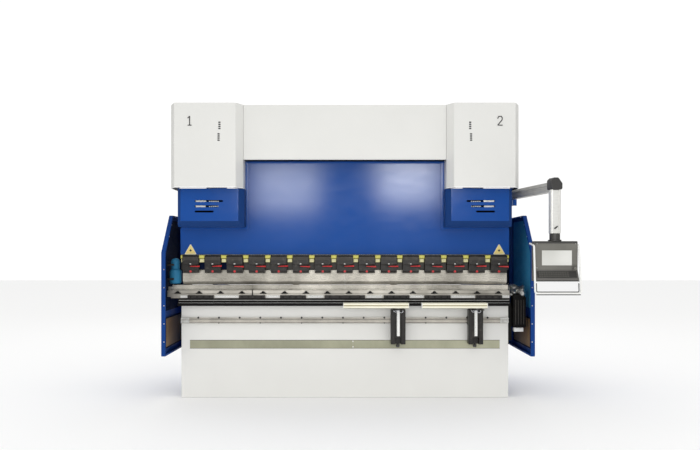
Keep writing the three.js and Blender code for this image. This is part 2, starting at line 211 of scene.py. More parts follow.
def enamel(name, colour, roughness=0.3, coat=0.4, peel=0.00012, spread=0.06, specular=0.35):
    """Sprayed paint: broad tone drift, orange peel, a soft clear coat and faint handling marks."""
    material, tree, shader = blank_material(name)
    tones = [(0.3, shade(colour, 1 - spread)), (0.7, shade(colour, 1 + spread))]
    tint(tree, shader, noise(tree, 1.3, detail=4), tones)
    marks = noise(tree, 7, (1, 1, 2.2), detail=6, roughness=0.7)
    polish(tree, shader, marks, roughness, (0.3, 0.85), (0.75, 1.25))
    shader.inputs["Coat Weight"].default_value = coat
    shader.inputs["Coat Roughness"].default_value = roughness * 0.6
    shader.inputs["Specular IOR Level"].default_value = specular
    bump(tree, shader, noise(tree, 240, detail=2), peel)
    return material


def bare_metal(name, light, dark, roughness=0.3, grain=(1, 60, 60), patch=2.0, depth=0.00005, metallic=1.0):
    """Ground or brushed metal: fine grain along one axis over broad stains."""
    material, tree, shader = blank_material(name)
    stains = noise(tree, patch, (1, 1, 0.6), detail=5, roughness=0.6)
    tint(tree, shader, stains, [(0.35, dark), (0.62, light)])
    lines = noise(tree, 12, grain, detail=4, roughness=0.7)
    polish(tree, shader, lines, roughness, (0.25, 0.75), (0.8, 1.35))
    shader.inputs["Metallic"].default_value = metallic
    bump(tree, shader, lines, depth)
    return material


def oxide(name, colour, roughness=0.42, wear=(0.16, 0.145, 0.125), metallic=0.4):
    """Blackened steel with rubbed, slightly brown patches and a cast grain."""
    material, tree, shader = blank_material(name)
    rubbed = noise(tree, 22, detail=7, roughness=0.68)
    stops = [(0.0, shade(colour, 0.8)), (0.56, shade(colour, 1.2)), (0.72, wear)]
    tint(tree, shader, rubbed, stops)
    polish(tree, shader, noise(tree, 60, detail=4), roughness, (0.3, 0.8), (0.8, 1.3))
    shader.inputs["Metallic"].default_value = metallic
    bump(tree, shader, noise(tree, 420, detail=3), 0.00008)
    return material


def plastic(name, colour, roughness=0.45, grain=900, depth=0.00006):
    """Moulded plastic with a fine spark-eroded grain."""
    material, tree, shader = blank_material(name)
    tint(tree, shader, noise(tree, 9, detail=3), [(0.3, shade(colour, 0.92)), (0.7, shade(colour, 1.08))])
    polish(tree, shader, noise(tree, 40, detail=4), roughness, (0.3, 0.85), (0.75, 1.2))
    bump(tree, shader, noise(tree, grain, detail=2), depth)
    return material


def glass_screen():
    """Display behind glass: pale, with a soft wash across it."""
    material, tree, shader = blank_material("screen")
    tint(tree, shader, noise(tree, 2.5, detail=1), [(0.3, (0.62, 0.62, 0.58)), (0.7, (0.86, 0.86, 0.82))])
    shader.inputs["Roughness"].default_value = 0.12
    shader.inputs["Coat Weight"].default_value = 0.8
    shader.inputs["Coat Roughness"].default_value = 0.04
    return material


def tinted_window():
    """Amber polycarbonate of the guard windows."""
    material, tree, shader = blank_material("amber_window")
    tint(tree, shader, noise(tree, 3, detail=3), [(0.3, (0.17, 0.10, 0.045)), (0.7, (0.30, 0.19, 0.09))])
    shader.inputs["Roughness"].default_value = 0.55
    shader.inputs["Specular IOR Level"].default_value = 0.2
    return material


BLUE = enamel("blue_enamel", (0.010, 0.068, 0.30), 0.15, 0.0, 0.00004, 0.05, 0.28)
# Darker blue for the faces of the rod covers not turned to the front: painted shade.
SHADE_BLUE = enamel("painted_shade_blue", (0.006, 0.040, 0.17), 0.40, 0.0, 0.00008, 0.05, 0.15)
GUARD_BLUE = enamel("guard_blue", (0.006, 0.046, 0.22), 0.5, 0.0, 0.00010, 0.06, 0.10)
# Dark navy for blue parts inside the guards and in gaps between the clamps: painted shade.
SHADE_NAVY = enamel("shaded_navy", (0.002, 0.008, 0.034), 0.6, 0.0, 0.00010, 0.06, 0.05)
WHITE = enamel("white_enamel", (0.765, 0.76, 0.73), 0.42, 0.05, 0.00009, 0.02, 0.25)
COVER_WHITE = enamel("cover_white", (0.715, 0.713, 0.685), 0.40, 0.05, 0.00009, 0.02, 0.25)
BLACK = oxide("black_oxide", (0.012, 0.010, 0.009), 0.45, (0.06, 0.055, 0.045), 0.2)
CLAMP_BLACK = oxide("clamp_black", (0.013, 0.011, 0.009), 0.42, (0.07, 0.062, 0.05), 0.15)
STEEL = bare_metal("ground_steel", (0.66, 0.625, 0.56), (0.34, 0.32, 0.28), 0.34, metallic=0.75)
PUNCH_STEEL = bare_metal(
    "punch_steel", (0.78, 0.74, 0.65), (0.24, 0.225, 0.19), 0.28, patch=1.2, metallic=0.7,
)
STRIP_STEEL = bare_metal(
    "strip_steel", (0.46, 0.455, 0.33), (0.30, 0.30, 0.215), 0.4, patch=1.3, metallic=0.6,
)
CHROME = bare_metal("hard_chrome", (0.80, 0.81, 0.83), (0.72, 0.73, 0.75), 0.1, (60, 60, 1), 2, 0.00001)
ALUMINIUM = bare_metal("anodised_aluminium", (0.82, 0.815, 0.78), (0.74, 0.735, 0.70), 0.3, metallic=0.3)
ZINC = bare_metal("zinc_plate", (0.66, 0.66, 0.64), (0.48, 0.48, 0.46), 0.3, (1, 1, 1), 25)
MACHINE_GREY = enamel("machine_grey", (0.10, 0.10, 0.10), 0.4, 0.2)
PLASTIC_GREY = plastic("pendant_plastic", (0.115, 0.11, 0.10))
PLASTIC_DARK = plastic("dark_plastic", (0.045, 0.043, 0.04), 0.4)
RED = plastic("red_plastic", (0.52, 0.018, 0.02), 0.32)
YELLOW = enamel("yellow_enamel", (0.56, 0.52, 0.10), 0.4, 0.1)
LABEL_YELLOW = enamel("label_yellow", (0.80, 0.64, 0.22), 0.4, 0.0)
LABEL_CREAM = enamel("label_cream", (0.84, 0.78, 0.55), 0.4, 0.0)
PALE_YELLOW = enamel("pale_yellow", (0.70, 0.66, 0.36), 0.45, 0.0)
LABEL_BLACK = plastic("label_black", (0.02, 0.02, 0.02), 0.4)
SCALE_WHITE = enamel("scale_white", (0.85, 0.85, 0.82), 0.4, 0.3)
TEAL = enamel("teal_film", (0.036, 0.22, 0.40), 0.45, 0.0, 0.00008, 0.1, 0.1)
OLIVE = enamel("olive_edge", (0.16, 0.15, 0.07), 0.5, 0.0)
CREAM = bare_metal("cream_anodised", (0.90, 0.875, 0.74), (0.82, 0.79, 0.63), 0.42, metallic=0.2)
SHADOW = enamel("deep_black", (0.006, 0.0055, 0.005), 0.6, 0.0, 0.0001, 0.1, 0.12)
CHARCOAL = oxide("charcoal_plate", (0.032, 0.028, 0.023), 0.5, (0.08, 0.073, 0.06), 0.15)
FACE_GREY = plastic("pendant_face_grey", (0.150, 0.145, 0.125), 0.5)
KEY_GREY = plastic("key_grey", (0.085, 0.082, 0.072), 0.45)
BOOM_GREY = bare_metal("boom_extrusion", (0.52, 0.51, 0.48), (0.36, 0.355, 0.33), 0.42, metallic=0.3)
ELBOW_GREY = plastic("elbow_casting", (0.045, 0.043, 0.042), 0.5, 400, 0.0001)
ARM_LINE = enamel("arm_slot_lining", (0.38, 0.31, 0.13), 0.5, 0.0)
ARM_EDGE = enamel("arm_edge", (0.075, 0.068, 0.042), 0.5, 0.0)
FOIL = bare_metal("crumpled_wrap", (0.62, 0.62, 0.60), (0.25, 0.25, 0.24), 0.3, (1, 1, 1), 30)
# Near-white for thin strips along the bottom edges of the cylinder covers and the top panel: painted
# highlight.
HIGHLIGHT_WHITE = enamel("painted_highlight_white", (0.93, 0.93, 0.92), 0.3, 0.3, 0.00005, 0.01)
SCREEN = glass_screen()
AMBER = tinted_window()


# ---- shapes ----
def shape():
    return bmesh.new()


def arc_angles(start, end, steps):
    return [start + (end - start) * step / steps for step in range(steps + 1)]


def circle(u, v, radius, steps, squash=1.0, first=0.0):
    """Points around a circle, or around an ellipse where squash isn't 1."""
    angles = arc_angles(first, first + 2 * math.pi, steps)[:-1]
    return [(u + radius * math.cos(a), v + radius * squash * math.sin(a)) for a in angles]


def absorb(target, source):
    """Moves every face of source into target and frees source."""
    mesh = bpy.data.meshes.new("part")
    source.to_mesh(mesh)
    source.free()
    target.from_mesh(mesh)
    bpy.data.meshes.remove(mesh)


def box(target, low, high, turn=None):
    part = bmesh.new()
    bmesh.ops.create_cube(part, size=1.0)
    low, high = Vector(low), Vector(high)
    size = high - low
    place = Matrix.Translation((low + high) / 2) @ Matrix.Diagonal((*size, 1))
    if turn is not None:
        place = turn @ place
    bmesh.ops.transform(part, matrix=place, verts=part.verts)
    absorb(target, part)


def rod(target, start, end, radius, sides=32, tip=None):
    """A round bar between two points; tip is the radius at its end."""
    start, end = Vector(start), Vector(end)
    axis = end - start
    part = bmesh.new()
    bmesh.ops.create_cone(
        part, cap_ends=True, segments=sides, depth=axis.length,
        radius1=radius, radius2=radius if tip is None else tip,
    )
    turn = axis.to_track_quat("Z", "Y").to_matrix().to_4x4()
    bmesh.ops.transform(part, matrix=Matrix.Translation((start + end) / 2) @ turn, verts=part.verts)
    absorb(target, part)


def hex_bolt(target, place, normal, radius=0.009, height=0.007):
    """A socket-head screw: a round head with a six-sided recess."""
    place, normal = Vector(place), Vector(normal).normalized()
    rod(target, place, place + normal * height, radius, 20)
    rod(target, place + normal * height, place + normal * (height + 0.0004), radius * 0.5, 6)


PLANES = {
    "x": lambda u, v, w: Vector((w, u, v)),
    "y": lambda u, v, w: Vector((u, w, v)),
    "z": lambda u, v, w: Vector((u, v, w)),
}


def prism(target, outline, axis, start, end):
    """An outline pushed along x, y or z. Its points are (y, z), (x, z) or (x, y).

    The axis may also be a function that places (u, v) at a distance w along the push.
    """
    part = bmesh.new()
    put = PLANES.get(axis, axis)
    near = [part.verts.new(put(u, v, start)) for u, v in outline]
    far = [part.verts.new(put(u, v, end)) for u, v in outline]
    part.faces.new(near)
    part.faces.new(list(reversed(far)))
    count = len(outline)
    for index in range(count):
        after = (index + 1) % count
        part.faces.new((near[after], near[index], far[index], far[after]))
    bmesh.ops.recalc_face_normals(part, faces=part.faces)
    absorb(target, part)


def fillet(outline, radius, steps=5, skip=()):
    """The outline with each corner rounded to an arc, apart from the corners in skip."""
    points = []
    count = len(outline)
    for index, corner in enumerate(outline):
        corner = Vector(corner)
        before = (Vector(outline[index - 1]) - corner).normalized()
        after = (Vector(outline[(index + 1) % count]) - corner).normalized()
        half = before.angle(after) / 2
        if index in skip or half > math.radians(88):
            points.append(tuple(corner))
            continue
        reach = radius / math.tan(half)
        centre = corner + (before + after).normalized() * (radius / math.sin(half))
        first = corner + before * reach - centre
        last = corner + after * reach - centre
        arc = first.angle_signed(last)
        for step in range(steps + 1):
            turn = Matrix.Rotation(-arc * step / steps, 2)
            points.append(tuple(centre + turn @ first))
    return points


def evaluated(item):
    """The item's mesh with its modifiers applied. The item itself is removed."""
    bpy.context.view_layer.update()
    mesh = bpy.data.meshes.new_from_object(item.evaluated_get(bpy.context.evaluated_depsgraph_get()))
    bpy.data.objects.remove(item)
    return mesh


def riding(name, mesh, body):
    """A piece made of this mesh, on a body."""
    piece = bpy.data.objects.new(name, mesh)
    SCENE.collection.objects.link(piece)
    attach(piece, body)
    return piece


def sweep(name, points, radius, material, body, closed=False, sides=10):
    """A round tube along points, as a mesh."""
    curve = bpy.data.curves.new(name, "CURVE")
    curve.dimensions = "3D"
    curve.bevel_depth = radius
    curve.bevel_resolution = sides // 2
    curve.use_fill_caps = True
    line = curve.splines.new("POLY")
    line.points.add(len(points) - 1)
    for item, point in zip(line.points, points):
        item.co = (*point, 1)
    line.use_cyclic_u = closed
    holder = bpy.data.objects.new(name, curve)
    SCENE.collection.objects.link(holder)
    mesh = evaluated(holder)
    mesh.name = name
    mesh.materials.clear()
    mesh.materials.append(material)
    for polygon in mesh.polygons:
        polygon.use_smooth = True
    return riding(name, mesh, body)


def round_path(points, radius, steps=6):
    """A path in space with its inner corners rounded."""
    path = [Vector(points[0])]
    for index in range(1, len(points) - 1):
        corner = Vector(points[index])
        before = (Vector(points[index - 1]) - corner).normalized()
        after = (Vector(points[index + 1]) - corner).normalized()
        start = corner + before * radius
        end = corner + after * radius
        for step in range(steps + 1):
            t = step / steps
            path.append(start.lerp(corner, t).lerp(corner.lerp(end, t), t))
    path.append(Vector(points[-1]))
    return path


def finished(
    target, name, material, body, slot, bevel=0.0015, segments=2, replaces=(), mirror=False, thickness=0,
):
    """Turns a shape into a piece with softened edges that rides on a body."""
    if mirror:
        bmesh.ops.scale(target, vec=(-1, 1, 1), verts=target.verts)
        bmesh.ops.reverse_faces(target, faces=target.faces)
    mesh = bpy.data.meshes.new(name)
    target.to_mesh(mesh)
    target.free()
    for polygon in mesh.polygons:
        polygon.use_smooth = True
    mesh.materials.append(material)
    rough = bpy.data.objects.new(name + "_rough", mesh)
    SCENE.collection.objects.link(rough)
    if thickness:
        sheet = rough.modifiers.new("sheet", "SOLIDIFY")
        sheet.thickness = thickness
        sheet.offset = -1
        sheet.use_even_offset = True
    if bevel:
        soften = rough.modifiers.new("soften", "BEVEL")
        soften.width = bevel
        soften.segments = segments
        soften.limit_method = "ANGLE"
        soften.angle_limit = math.radians(32)
    weigh = rough.modifiers.new("weigh", "WEIGHTED_NORMAL")
    weigh.keep_sharp = True
    final = evaluated(rough)
    final.name = name
    piece = riding(name, final, body)
    if replaces:
        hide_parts(*replaces)
    return piece


def rounded(node, material, bevel=0.003, segments=3):
    """Stands in for a CAD node with the same solid, its edges broken."""
    target = bmesh.new()
    target.from_mesh(NODES[node].data)
    bmesh.ops.remove_doubles(target, verts=target.verts, dist=1e-5)
    bmesh.ops.dissolve_limit(
        target, angle_limit=math.radians(0.5), verts=target.verts, edges=target.edges,
    )
    body = NODES[node]["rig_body"]
    return finished(target, node + "_body", material, body, SLOT_OF[node], bevel, segments, (node,))


SLOT_OF = {entry["node"]: entry["material_slot"] for entry in frame["record"]["subparts"]}


def placed(target, name, material, body, bevel=0.001, segments=2, slot="black_steel", **options):
    return finished(target, name, material, body, slot, bevel, segments, **options)


# ---- sheet covers ----
def walled(outline, low, high, bend):
    """Walls raised along an open outline with a lid on top; the lid's rim is bent, not sharp."""
    target = bmesh.new()
    bottom = [target.verts.new((x, y, low)) for x, y in outline]
    top = [target.verts.new((x, y, high)) for x, y in outline]
    for index in range(len(outline) - 1):
        target.faces.new((bottom[index], bottom[index + 1], top[index + 1], top[index]))
    target.faces.new(top)
    rim = [edge for edge in target.edges if len(edge.link_faces) == 2 and all(v in top for v in edge.verts)]
    bmesh.ops.bevel(target, geom=rim, offset=bend, segments=4, affect="EDGES", profile=0.5)
    return target


def cylinder_cover(side, sign):
    """Folded sheet cover: chamfered corners, a lid, a painted highlight strip along its bottom edge and
    painted shade under it.
    """
    node = "cylinder_cover_" + side
    low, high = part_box("cylinder_cover_right")
    plan = [
        (low.x, high.y),
        (low.x, low.y + 0.100),
        (low.x + 0.058, low.y),
        (high.x - 0.058, low.y),
        (high.x, low.y + 0.125),
        (high.x, high.y),
    ]
    outline = fillet(plan, 0.014, 5, skip=(0, 5))
    target = walled(outline, low.z + 0.009, high.z, 0.006)
    finished(
        target, node + "_shell", COVER_WHITE, "frame", "white_paint",
        0.0006, 1, (node,), mirror=sign < 0, thickness=0.0035,
    )
    toward = Vector((CYLINDER_X, 0.05))
    rim = [tuple(Vector(point).lerp(toward, 0.012)) for point in plan]
    inner = [tuple(Vector(point).lerp(toward, 0.10)) for point in plan]
    # A near-white strip along the bottom edge is a painted highlight; the black band inside it is painted
    # shade.
    edge, underside = shape(), shape()
    for index in range(len(plan) - 1):
        prism(edge, [plan[index], plan[index + 1], rim[index + 1], rim[index]], "z", low.z, low.z + 0.0086)
        corners = [rim[index], rim[index + 1], inner[index + 1], inner[index]]
        prism(underside, corners, "z", low.z + 0.0008, low.z + 0.0036)
    placed(edge, node + "_edge", HIGHLIGHT_WHITE, "frame", 0.0008, 2, "white_paint", mirror=sign < 0)
    placed(underside, node + "_painted_shade", SHADOW, "frame", 0.0004, 1, "white_paint", mirror=sign < 0)


def rod_cover(side, sign):
    """Bevelled louvred cover: a solid of its outside, hollowed, with three slots cut through."""
    node = "rod_cover_" + side
    low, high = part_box("rod_cover_right")
    sheet = 0.0035

    def block_of(inset, back, top):
        target = bmesh.new()
        plan = fillet([
            (low.x + inset, back),
            (low.x + inset, low.y + 0.045),
            (low.x + 0.051 + inset * 0.5, low.y + inset),
            (high.x - 0.034 - inset * 0.5, low.y + inset),
            (high.x - inset, low.y + 0.025 + inset * 0.5),
            (high.x - inset, back),
        ], 0.010, 4, skip=(0, 5))
        prism(target, plan, "z", low.z + inset, top)
        bmesh.ops.bisect_plane(
            target, geom=list(target.verts) + list(target.edges) + list(target.faces),
            plane_co=(0, low.y, low.z + 0.055 + inset * 1.3), plane_no=(0, -1.1, -1), clear_outer=True,
        )
        bmesh.ops.holes_fill(target, edges=target.edges)
        bmesh.ops.recalc_face_normals(target, faces=target.faces)
        return target

    slots = shape()
    for row, length in enumerate((0.270, 0.228, 0.180)):
        z = low.z + 0.245 - row * 0.050
        middle = (1.430 - length + 0.009, 1.430 - 0.009)
        box(slots, (middle[0], -0.27, z - 0.009), (middle[1], -0.19, z + 0.009))
        for end in middle:
            rod(slots, (end, -0.27, z), (end, -0.19, z), 0.009, 16)
    target = carved(block_of(0, high.y, high.z), [block_of(sheet, high.y + 0.02, high.z + 0.02), slots])
    shell = finished(
        target, node + "_shell", BLUE, "frame", "blue_paint", 0.0009, 2, (node,), mirror=sign < 0,
    )
    # Every face not turned to the front (bevels, sides, slot walls) takes the darker blue: painted shade.
    shell.data.materials.append(SHADE_BLUE)
    for polygon in shell.data.polygons:
        if polygon.normal.y > -0.92:
            polygon.material_index = 1
    screws = shape()
    for x in (low.x + 0.075, high.x - 0.055):
        for z in (high.z - 0.03, low.z + 0.085):
            hex_bolt(screws, (x, low.y, z), (0, -1, 0), 0.006, 0.002)
    placed(screws, node + "_screws", BLUE, "frame", 0.0004, 1, "blue_paint", mirror=sign < 0)
    valve_block(side, sign)


def valve_block(side, sign):
    """Dark valve plate seen through the slots, with its pale connectors and terminal covers."""
    mirror = sign < 0
    plate = shape()
    box(plate, (1.100, -0.130, 1.770), (1.480, -0.112, 1.960))
    for z in (1.795, 1.840, 1.885, 1.930):
        box(plate, (1.140, -0.190, z - 0.012), (1.450, -0.131, z + 0.012))
    placed(plate, "valve_block_" + side, SHADOW, "frame", 0.002, 2, "black_steel", mirror=mirror)
    connectors = shape()
    for z in (1.908, 1.860):
        for step in range(5):
            x = 1.205 + step * 0.020
            box(connectors, (x, -0.214, z - 0.005), (x + 0.012, -0.1905, z + 0.005))
    box(connectors, (1.330, -0.216, 1.852), (1.424, -0.1905, 1.868))
    placed(
        connectors, "valve_connectors_" + side, SCALE_WHITE, "frame", 0.001, 2, "white_paint", mirror=mirror,
    )
    covers = shape()
    box(covers, (1.325, -0.214, 1.900), (1.426, -0.1905, 1.919))
    placed(covers, "valve_covers_" + side, ZINC, "frame", 0.001, 2, "tool_steel", mirror=mirror)


def carved(solid, cutters):
    """The solid with each cutter taken out of it."""
    holder = bpy.data.objects.new("carved", bpy.data.meshes.new("carved"))
    solid.to_mesh(holder.data)
    solid.free()
    SCENE.collection.objects.link(holder)
    tools = []
    for cutter in cutters:
        tool = bpy.data.objects.new("cutter", bpy.data.meshes.new("cutter"))
        cutter.to_mesh(tool.data)
        cutter.free()
        SCENE.collection.objects.link(tool)
        tools.append(tool)
        cut = holder.modifiers.new("cut", "BOOLEAN")
        cut.operation = "DIFFERENCE"
        cut.solver = "EXACT"
        cut.use_self = True
        cut.object = tool
    mesh = evaluated(holder)
    for tool in tools:
        bpy.data.objects.remove(tool)
    target = bmesh.new()
    target.from_mesh(mesh)
    bpy.data.meshes.remove(mesh)
    return target


def cover_marks(side, sign):
    """Axis numeral and two rows of small square vents on the cylinder cover's front."""
    low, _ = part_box("cylinder_cover_right")
    face = low.y
    strokes = {
        "left": [[(0, 0), (0, 0.085), (-0.018, 0.066)], [(-0.018, 0), (0.018, 0)]],
        "right": [[(-0.022, 0.062), (-0.014, 0.082), (0.012, 0.083), (0.022, 0.066), (0.018, 0.048),
                   (-0.022, 0), (0.024, 0)]],
    }[side]
    marks = shape()
    for stroke in strokes:
        for (x0, z0), (x1, z1) in zip(stroke, stroke[1:]):
            start = (1.463 * sign + x0, face - 0.0004, 2.620 + z0)
            end = (1.463 * sign + x1, face - 0.0004, 2.620 + z1)
            rod(marks, start, end, 0.0046, 8)
    placed(marks, "axis_numeral_" + side, LABEL_BLACK, "frame", 0, 1)
    vents = shape()
    for group in (2.582, 2.472):
        for row in range(4):
            z = group + row * 0.0195
            x = 1.186 * sign + (0.004 if group < 2.5 else -0.004) * sign
            box(vents, (x - 0.0105, face - 0.0008, z), (x + 0.0105, face + 0.001, z + 0.0135))
    placed(vents, "vent_marks_" + side, LABEL_BLACK, "frame", 0.0008, 1)


def top_panel():
    """The sheet between the covers, a painted highlight strip along its bottom edge, a painted shadow strip
    under it and the blue side strips.
    """
    low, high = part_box("top_panel")
    section = [(-0.062, low.z), (low.y, low.z), (low.y, high.z), (high.y, high.z)]
    target = bmesh.new()
    rows = []
    for x in (low.x, high.x):
        rows.append([target.verts.new((x, y, z)) for y, z in section])
    for index in range(len(section) - 1):
        target.faces.new((rows[0][index], rows[0][index + 1], rows[1][index + 1], rows[1][index]))
    folds = [edge for edge in target.edges if len(edge.link_faces) == 2]
    bmesh.ops.bevel(target, geom=folds, offset=0.006, segments=4, affect="EDGES", profile=0.5)
    bmesh.ops.recalc_face_normals(target, faces=target.faces)
    front = min(target.faces, key=lambda face: face.calc_center_median().y)
    if front.normal.y > 0:
        bmesh.ops.reverse_faces(target, faces=target.faces)
    finished(
        target, "top_panel_sheet", COVER_WHITE, "frame", "white_paint",
        0.0006, 1, ("top_panel",), thickness=0.0035,
    )
    # A near-white strip along the panel's bottom edge: painted highlight.
    edge = shape()
    under = low.z - 0.0003
    box(edge, (low.x + 0.002, low.y - 0.0012, low.z - 0.0035), (high.x - 0.002, low.y + 0.004, under))
    placed(edge, "top_panel_highlight", HIGHLIGHT_WHITE, "frame", 0.001, 2, "white_paint")
    # A black strip under the panel's bottom edge: painted shadow.
    shadow_strip = shape()
    box(shadow_strip, (low.x + 0.004, low.y + 0.006, low.z - 0.0040), (high.x - 0.004, -0.0630, under))
    placed(shadow_strip, "crown_painted_shadow", SHADOW, "frame", 0.003, 2)
    strips = shape()
    for sign in (-1, 1):
        for inner, outer, top in ((0.9385, 1.0050, 2.309), (1.0050, 1.6000, 1.720)):
            ends = sorted((sign * inner, sign * outer))
            box(strips, (ends[0], -0.0585, 1.640), (ends[1], -0.0425, top))
    placed(strips, "crown_side_strips", BLUE, "frame", 0.002, 2, "blue_paint")


def guard(side, sign):
    """Folded pan with a return lip, rear flange, window, hinge knuckles and a row of screws."""
    node = "guard_" + side
    body = node
    low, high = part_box(node)
    reach = max(abs(low.x), abs(high.x))
    pin_x = reach - 0.019
    pin_y = 0.672
    outer_x = pin_x - 0.010
    lip_x = outer_x - 0.040
    mirror = sign < 0
    outline = [(-0.25, 0.43), (0.65, 0.43), (0.65, 1.787), (0.063, 1.787), (-0.25, 1.42)]
    plan = fillet(outline, 0.012, 4)
    target = bmesh.new()
    near = [target.verts.new((outer_x, y, z)) for y, z in plan]
    far = [target.verts.new((lip_x, y, z)) for y, z in plan]
    middle = Vector((0.2, 1.1))
    lips = []
    for y, z in plan:
        point = Vector((y, z))
        inward = (middle - point).normalized() * 0.022
        lips.append(target.verts.new((lip_x, y + inward.x, z + inward.y)))
    target.faces.new(near)
    count = len(plan)
    for index in range(count):
        after = (index + 1) % count
        target.faces.new((near[index], far[index], far[after], near[after]))
        target.faces.new((far[index], lips[index], lips[after], far[after]))
    bmesh.ops.recalc_face_normals(target, faces=target.faces)
    plate = max(target.faces, key=lambda face: face.calc_area())
    if plate.normal.x < 0:
        bmesh.ops.reverse_faces(target, faces=target.faces)
    folds = [e for e in target.edges if len(e.link_faces) == 2 and e.calc_face_angle(0) > 1.2]
    bmesh.ops.bevel(target, geom=folds, offset=0.004, segments=3, affect="EDGES", profile=0.5)
    finished(
        target, node + "_pan", GUARD_BLUE, body, "blue_paint", 0.0005, 1, (node,), mirror=mirror,
        thickness=0.0025,
    )
    # The rear flange takes dark navy, not the pan's blue: painted shade.
    flange = shape()
    box(flange, (outer_x - 0.105, 0.6440, 0.436), (lip_x + 0.001, 0.6490, 1.782))
    box(flange, (outer_x - 0.105, 0.6240, 0.436), (outer_x - 0.101, 0.6490, 1.782))
    placed(flange, node + "_flange", SHADE_NAVY, body, 0.0012, 2, "blue_paint", mirror=mirror)
    hinge = shape()
    for base in (0.660, 1.560):
        for step in range(3):
            start = base + step * 0.027
            rod(hinge, (pin_x, pin_y, start), (pin_x, pin_y, start + 0.0255), 0.0185, 28)
        box(hinge, (outer_x + 0.0005, 0.575, base + 0.006), (outer_x + 0.005, 0.660, base + 0.074))
        for z in (base + 0.022, base + 0.058):
            hex_bolt(hinge, (outer_x + 0.005, 0.600, z), (1, 0, 0), 0.007, 0.004)
    placed(hinge, node + "_hinges", BLACK, body, 0.001, 2, "blue_paint", mirror=mirror)
    rivets = shape()
    for step in range(8):
        z = 0.57 + step * 0.172
        if z < 1.42:
            hex_bolt(rivets, (lip_x + 0.012, -0.2505, z), (0, -1, 0), 0.0055, 0.0025)
        hex_bolt(rivets, (lip_x - 0.010, 0.6440, z), (0, -1, 0), 0.007, 0.004)
    for y, z in ((-0.10, 1.575), (0.00, 1.692), (0.15, 1.776), (0.35, 1.776), (0.55, 1.776)):
        hex_bolt(rivets, (lip_x, y, z), (-1, 0, 0), 0.006, 0.0025)
    placed(rivets, node + "_rivets", ZINC, body, 0.0004, 1, "tool_steel", mirror=mirror)
    guard_inside(node, body, outer_x - 0.0026, mirror)


def guard_inside(node, body, face, mirror):
    """Window low on the pan's inner face; above it a dark navy sheet on the left as painted shade, and
    unpeeled film on the right.
    """
    low_y, high_y = -0.10, 0.560
    low_z, high_z = 0.500, 0.775
    window = shape()
    box(window, (face - 0.0055, low_y, low_z), (face - 0.0005, high_y, high_z))
    placed(window, node + "_window", AMBER, body, 0.002, 2, "blue_paint", mirror=mirror)
    trim = shape()
    edge = 0.014
    for y0, y1, z0, z1 in (
        (low_y - edge, high_y + edge, low_z - edge, low_z),
        (low_y - edge, high_y + edge, high_z, high_z + edge),
        (low_y - edge, low_y, low_z, high_z),
        (high_y, high_y + edge, low_z, high_z),
    ):
        box(trim, (face - 0.009, y0, z0), (face - 0.0005, y1, z1))
    placed(trim, node + "_window_trim", SHADE_NAVY, body, 0.002, 2, "blue_paint", mirror=mirror)
    lining = shape()
    if mirror:
        # A dark navy sheet over the left pan's inner face: painted shade.
        outline = [(-0.235, 0.850), (0.620, 0.850), (0.620, 1.740), (0.070, 1.740), (-0.235, 1.400)]
        prism(lining, fillet(outline, 0.015, 4), "x", face - 0.0020, face - 0.0004)
        placed(lining, node + "_shade_sheet", SHADE_NAVY, body, 0.0005, 1, "blue_paint", mirror=mirror)
        lubricator(face, body)
    else:
        outline = [(-0.230, 0.880), (0.600, 0.880), (0.600, 1.740), (0.070, 1.740), (-0.230, 1.385)]
        prism(lining, fillet(outline, 0.025, 5), "x", face - 0.0016, face - 0.0004)
        placed(lining, node + "_film", TEAL, body, 0.0004, 1, "blue_paint", mirror=mirror)


def lubricator(face, body):
    """Two-stage lubricator hung on the left guard's inner face: a wide tank under a domed pump."""
    profile = [
        (0.0, 1.114), (0.048, 1.114), (0.058, 1.124), (0.059, 1.232), (0.050, 1.250), (0.037, 1.256),
        (0.042, 1.264), (0.045, 1.330), (0.036, 1.352), (0.018, 1.363), (0.0, 1.366),
    ]
    placed(
        turned(profile, Vector((face - 0.0710, 0.020)), 28), "lubricator_body", TEAL, body,
        0.001, 2, "blue_paint", mirror=True,
    )
    bracket = shape()
    for z in (1.150, 1.290):
        box(bracket, (face - 0.070, 0.076, z), (face - 0.0006, 0.084, z + 0.020))
        box(bracket, (face - 0.070, -0.044, z), (face - 0.0006, -0.036, z + 0.020))
    placed(bracket, "lubricator_bracket", BLACK, body, 0.001, 2, mirror=True)


def turned(profile, centre, steps):
    """A profile of (radius, z) points turned around an upright axis, closed at each end."""
    target = bmesh.new()
    rings = []
    for radius, z in profile:
        if radius == 0:
            rings.append([target.verts.new((centre.x, centre.y, z))])
            continue
        rings.append([target.verts.new((*spot, z)) for spot in circle(*centre, radius, steps)])
    for below, above in zip(rings, rings[1:]):
        for step in range(steps):
            after = (step + 1) % steps
            if len(below) == 1:
                target.faces.new((below[0], above[after], above[step]))
            elif len(above) == 1:
                target.faces.new((below[step], below[after], above[0]))
            else:
                target.faces.new((below[step], below[after], above[after], above[step]))
    bmesh.ops.recalc_face_normals(target, faces=target.faces)
    return target


# ---- ram, clamps and punches ----
RAM_SHOULDER = 1.655
CLAMP_PITCH = 0.2139
CLAMP_COUNT = 15
LEVER_Z = 1.2855
CLAMP_X = [(index - (CLAMP_COUNT - 1) / 2) * CLAMP_PITCH for index in range(CLAMP_COUNT)]


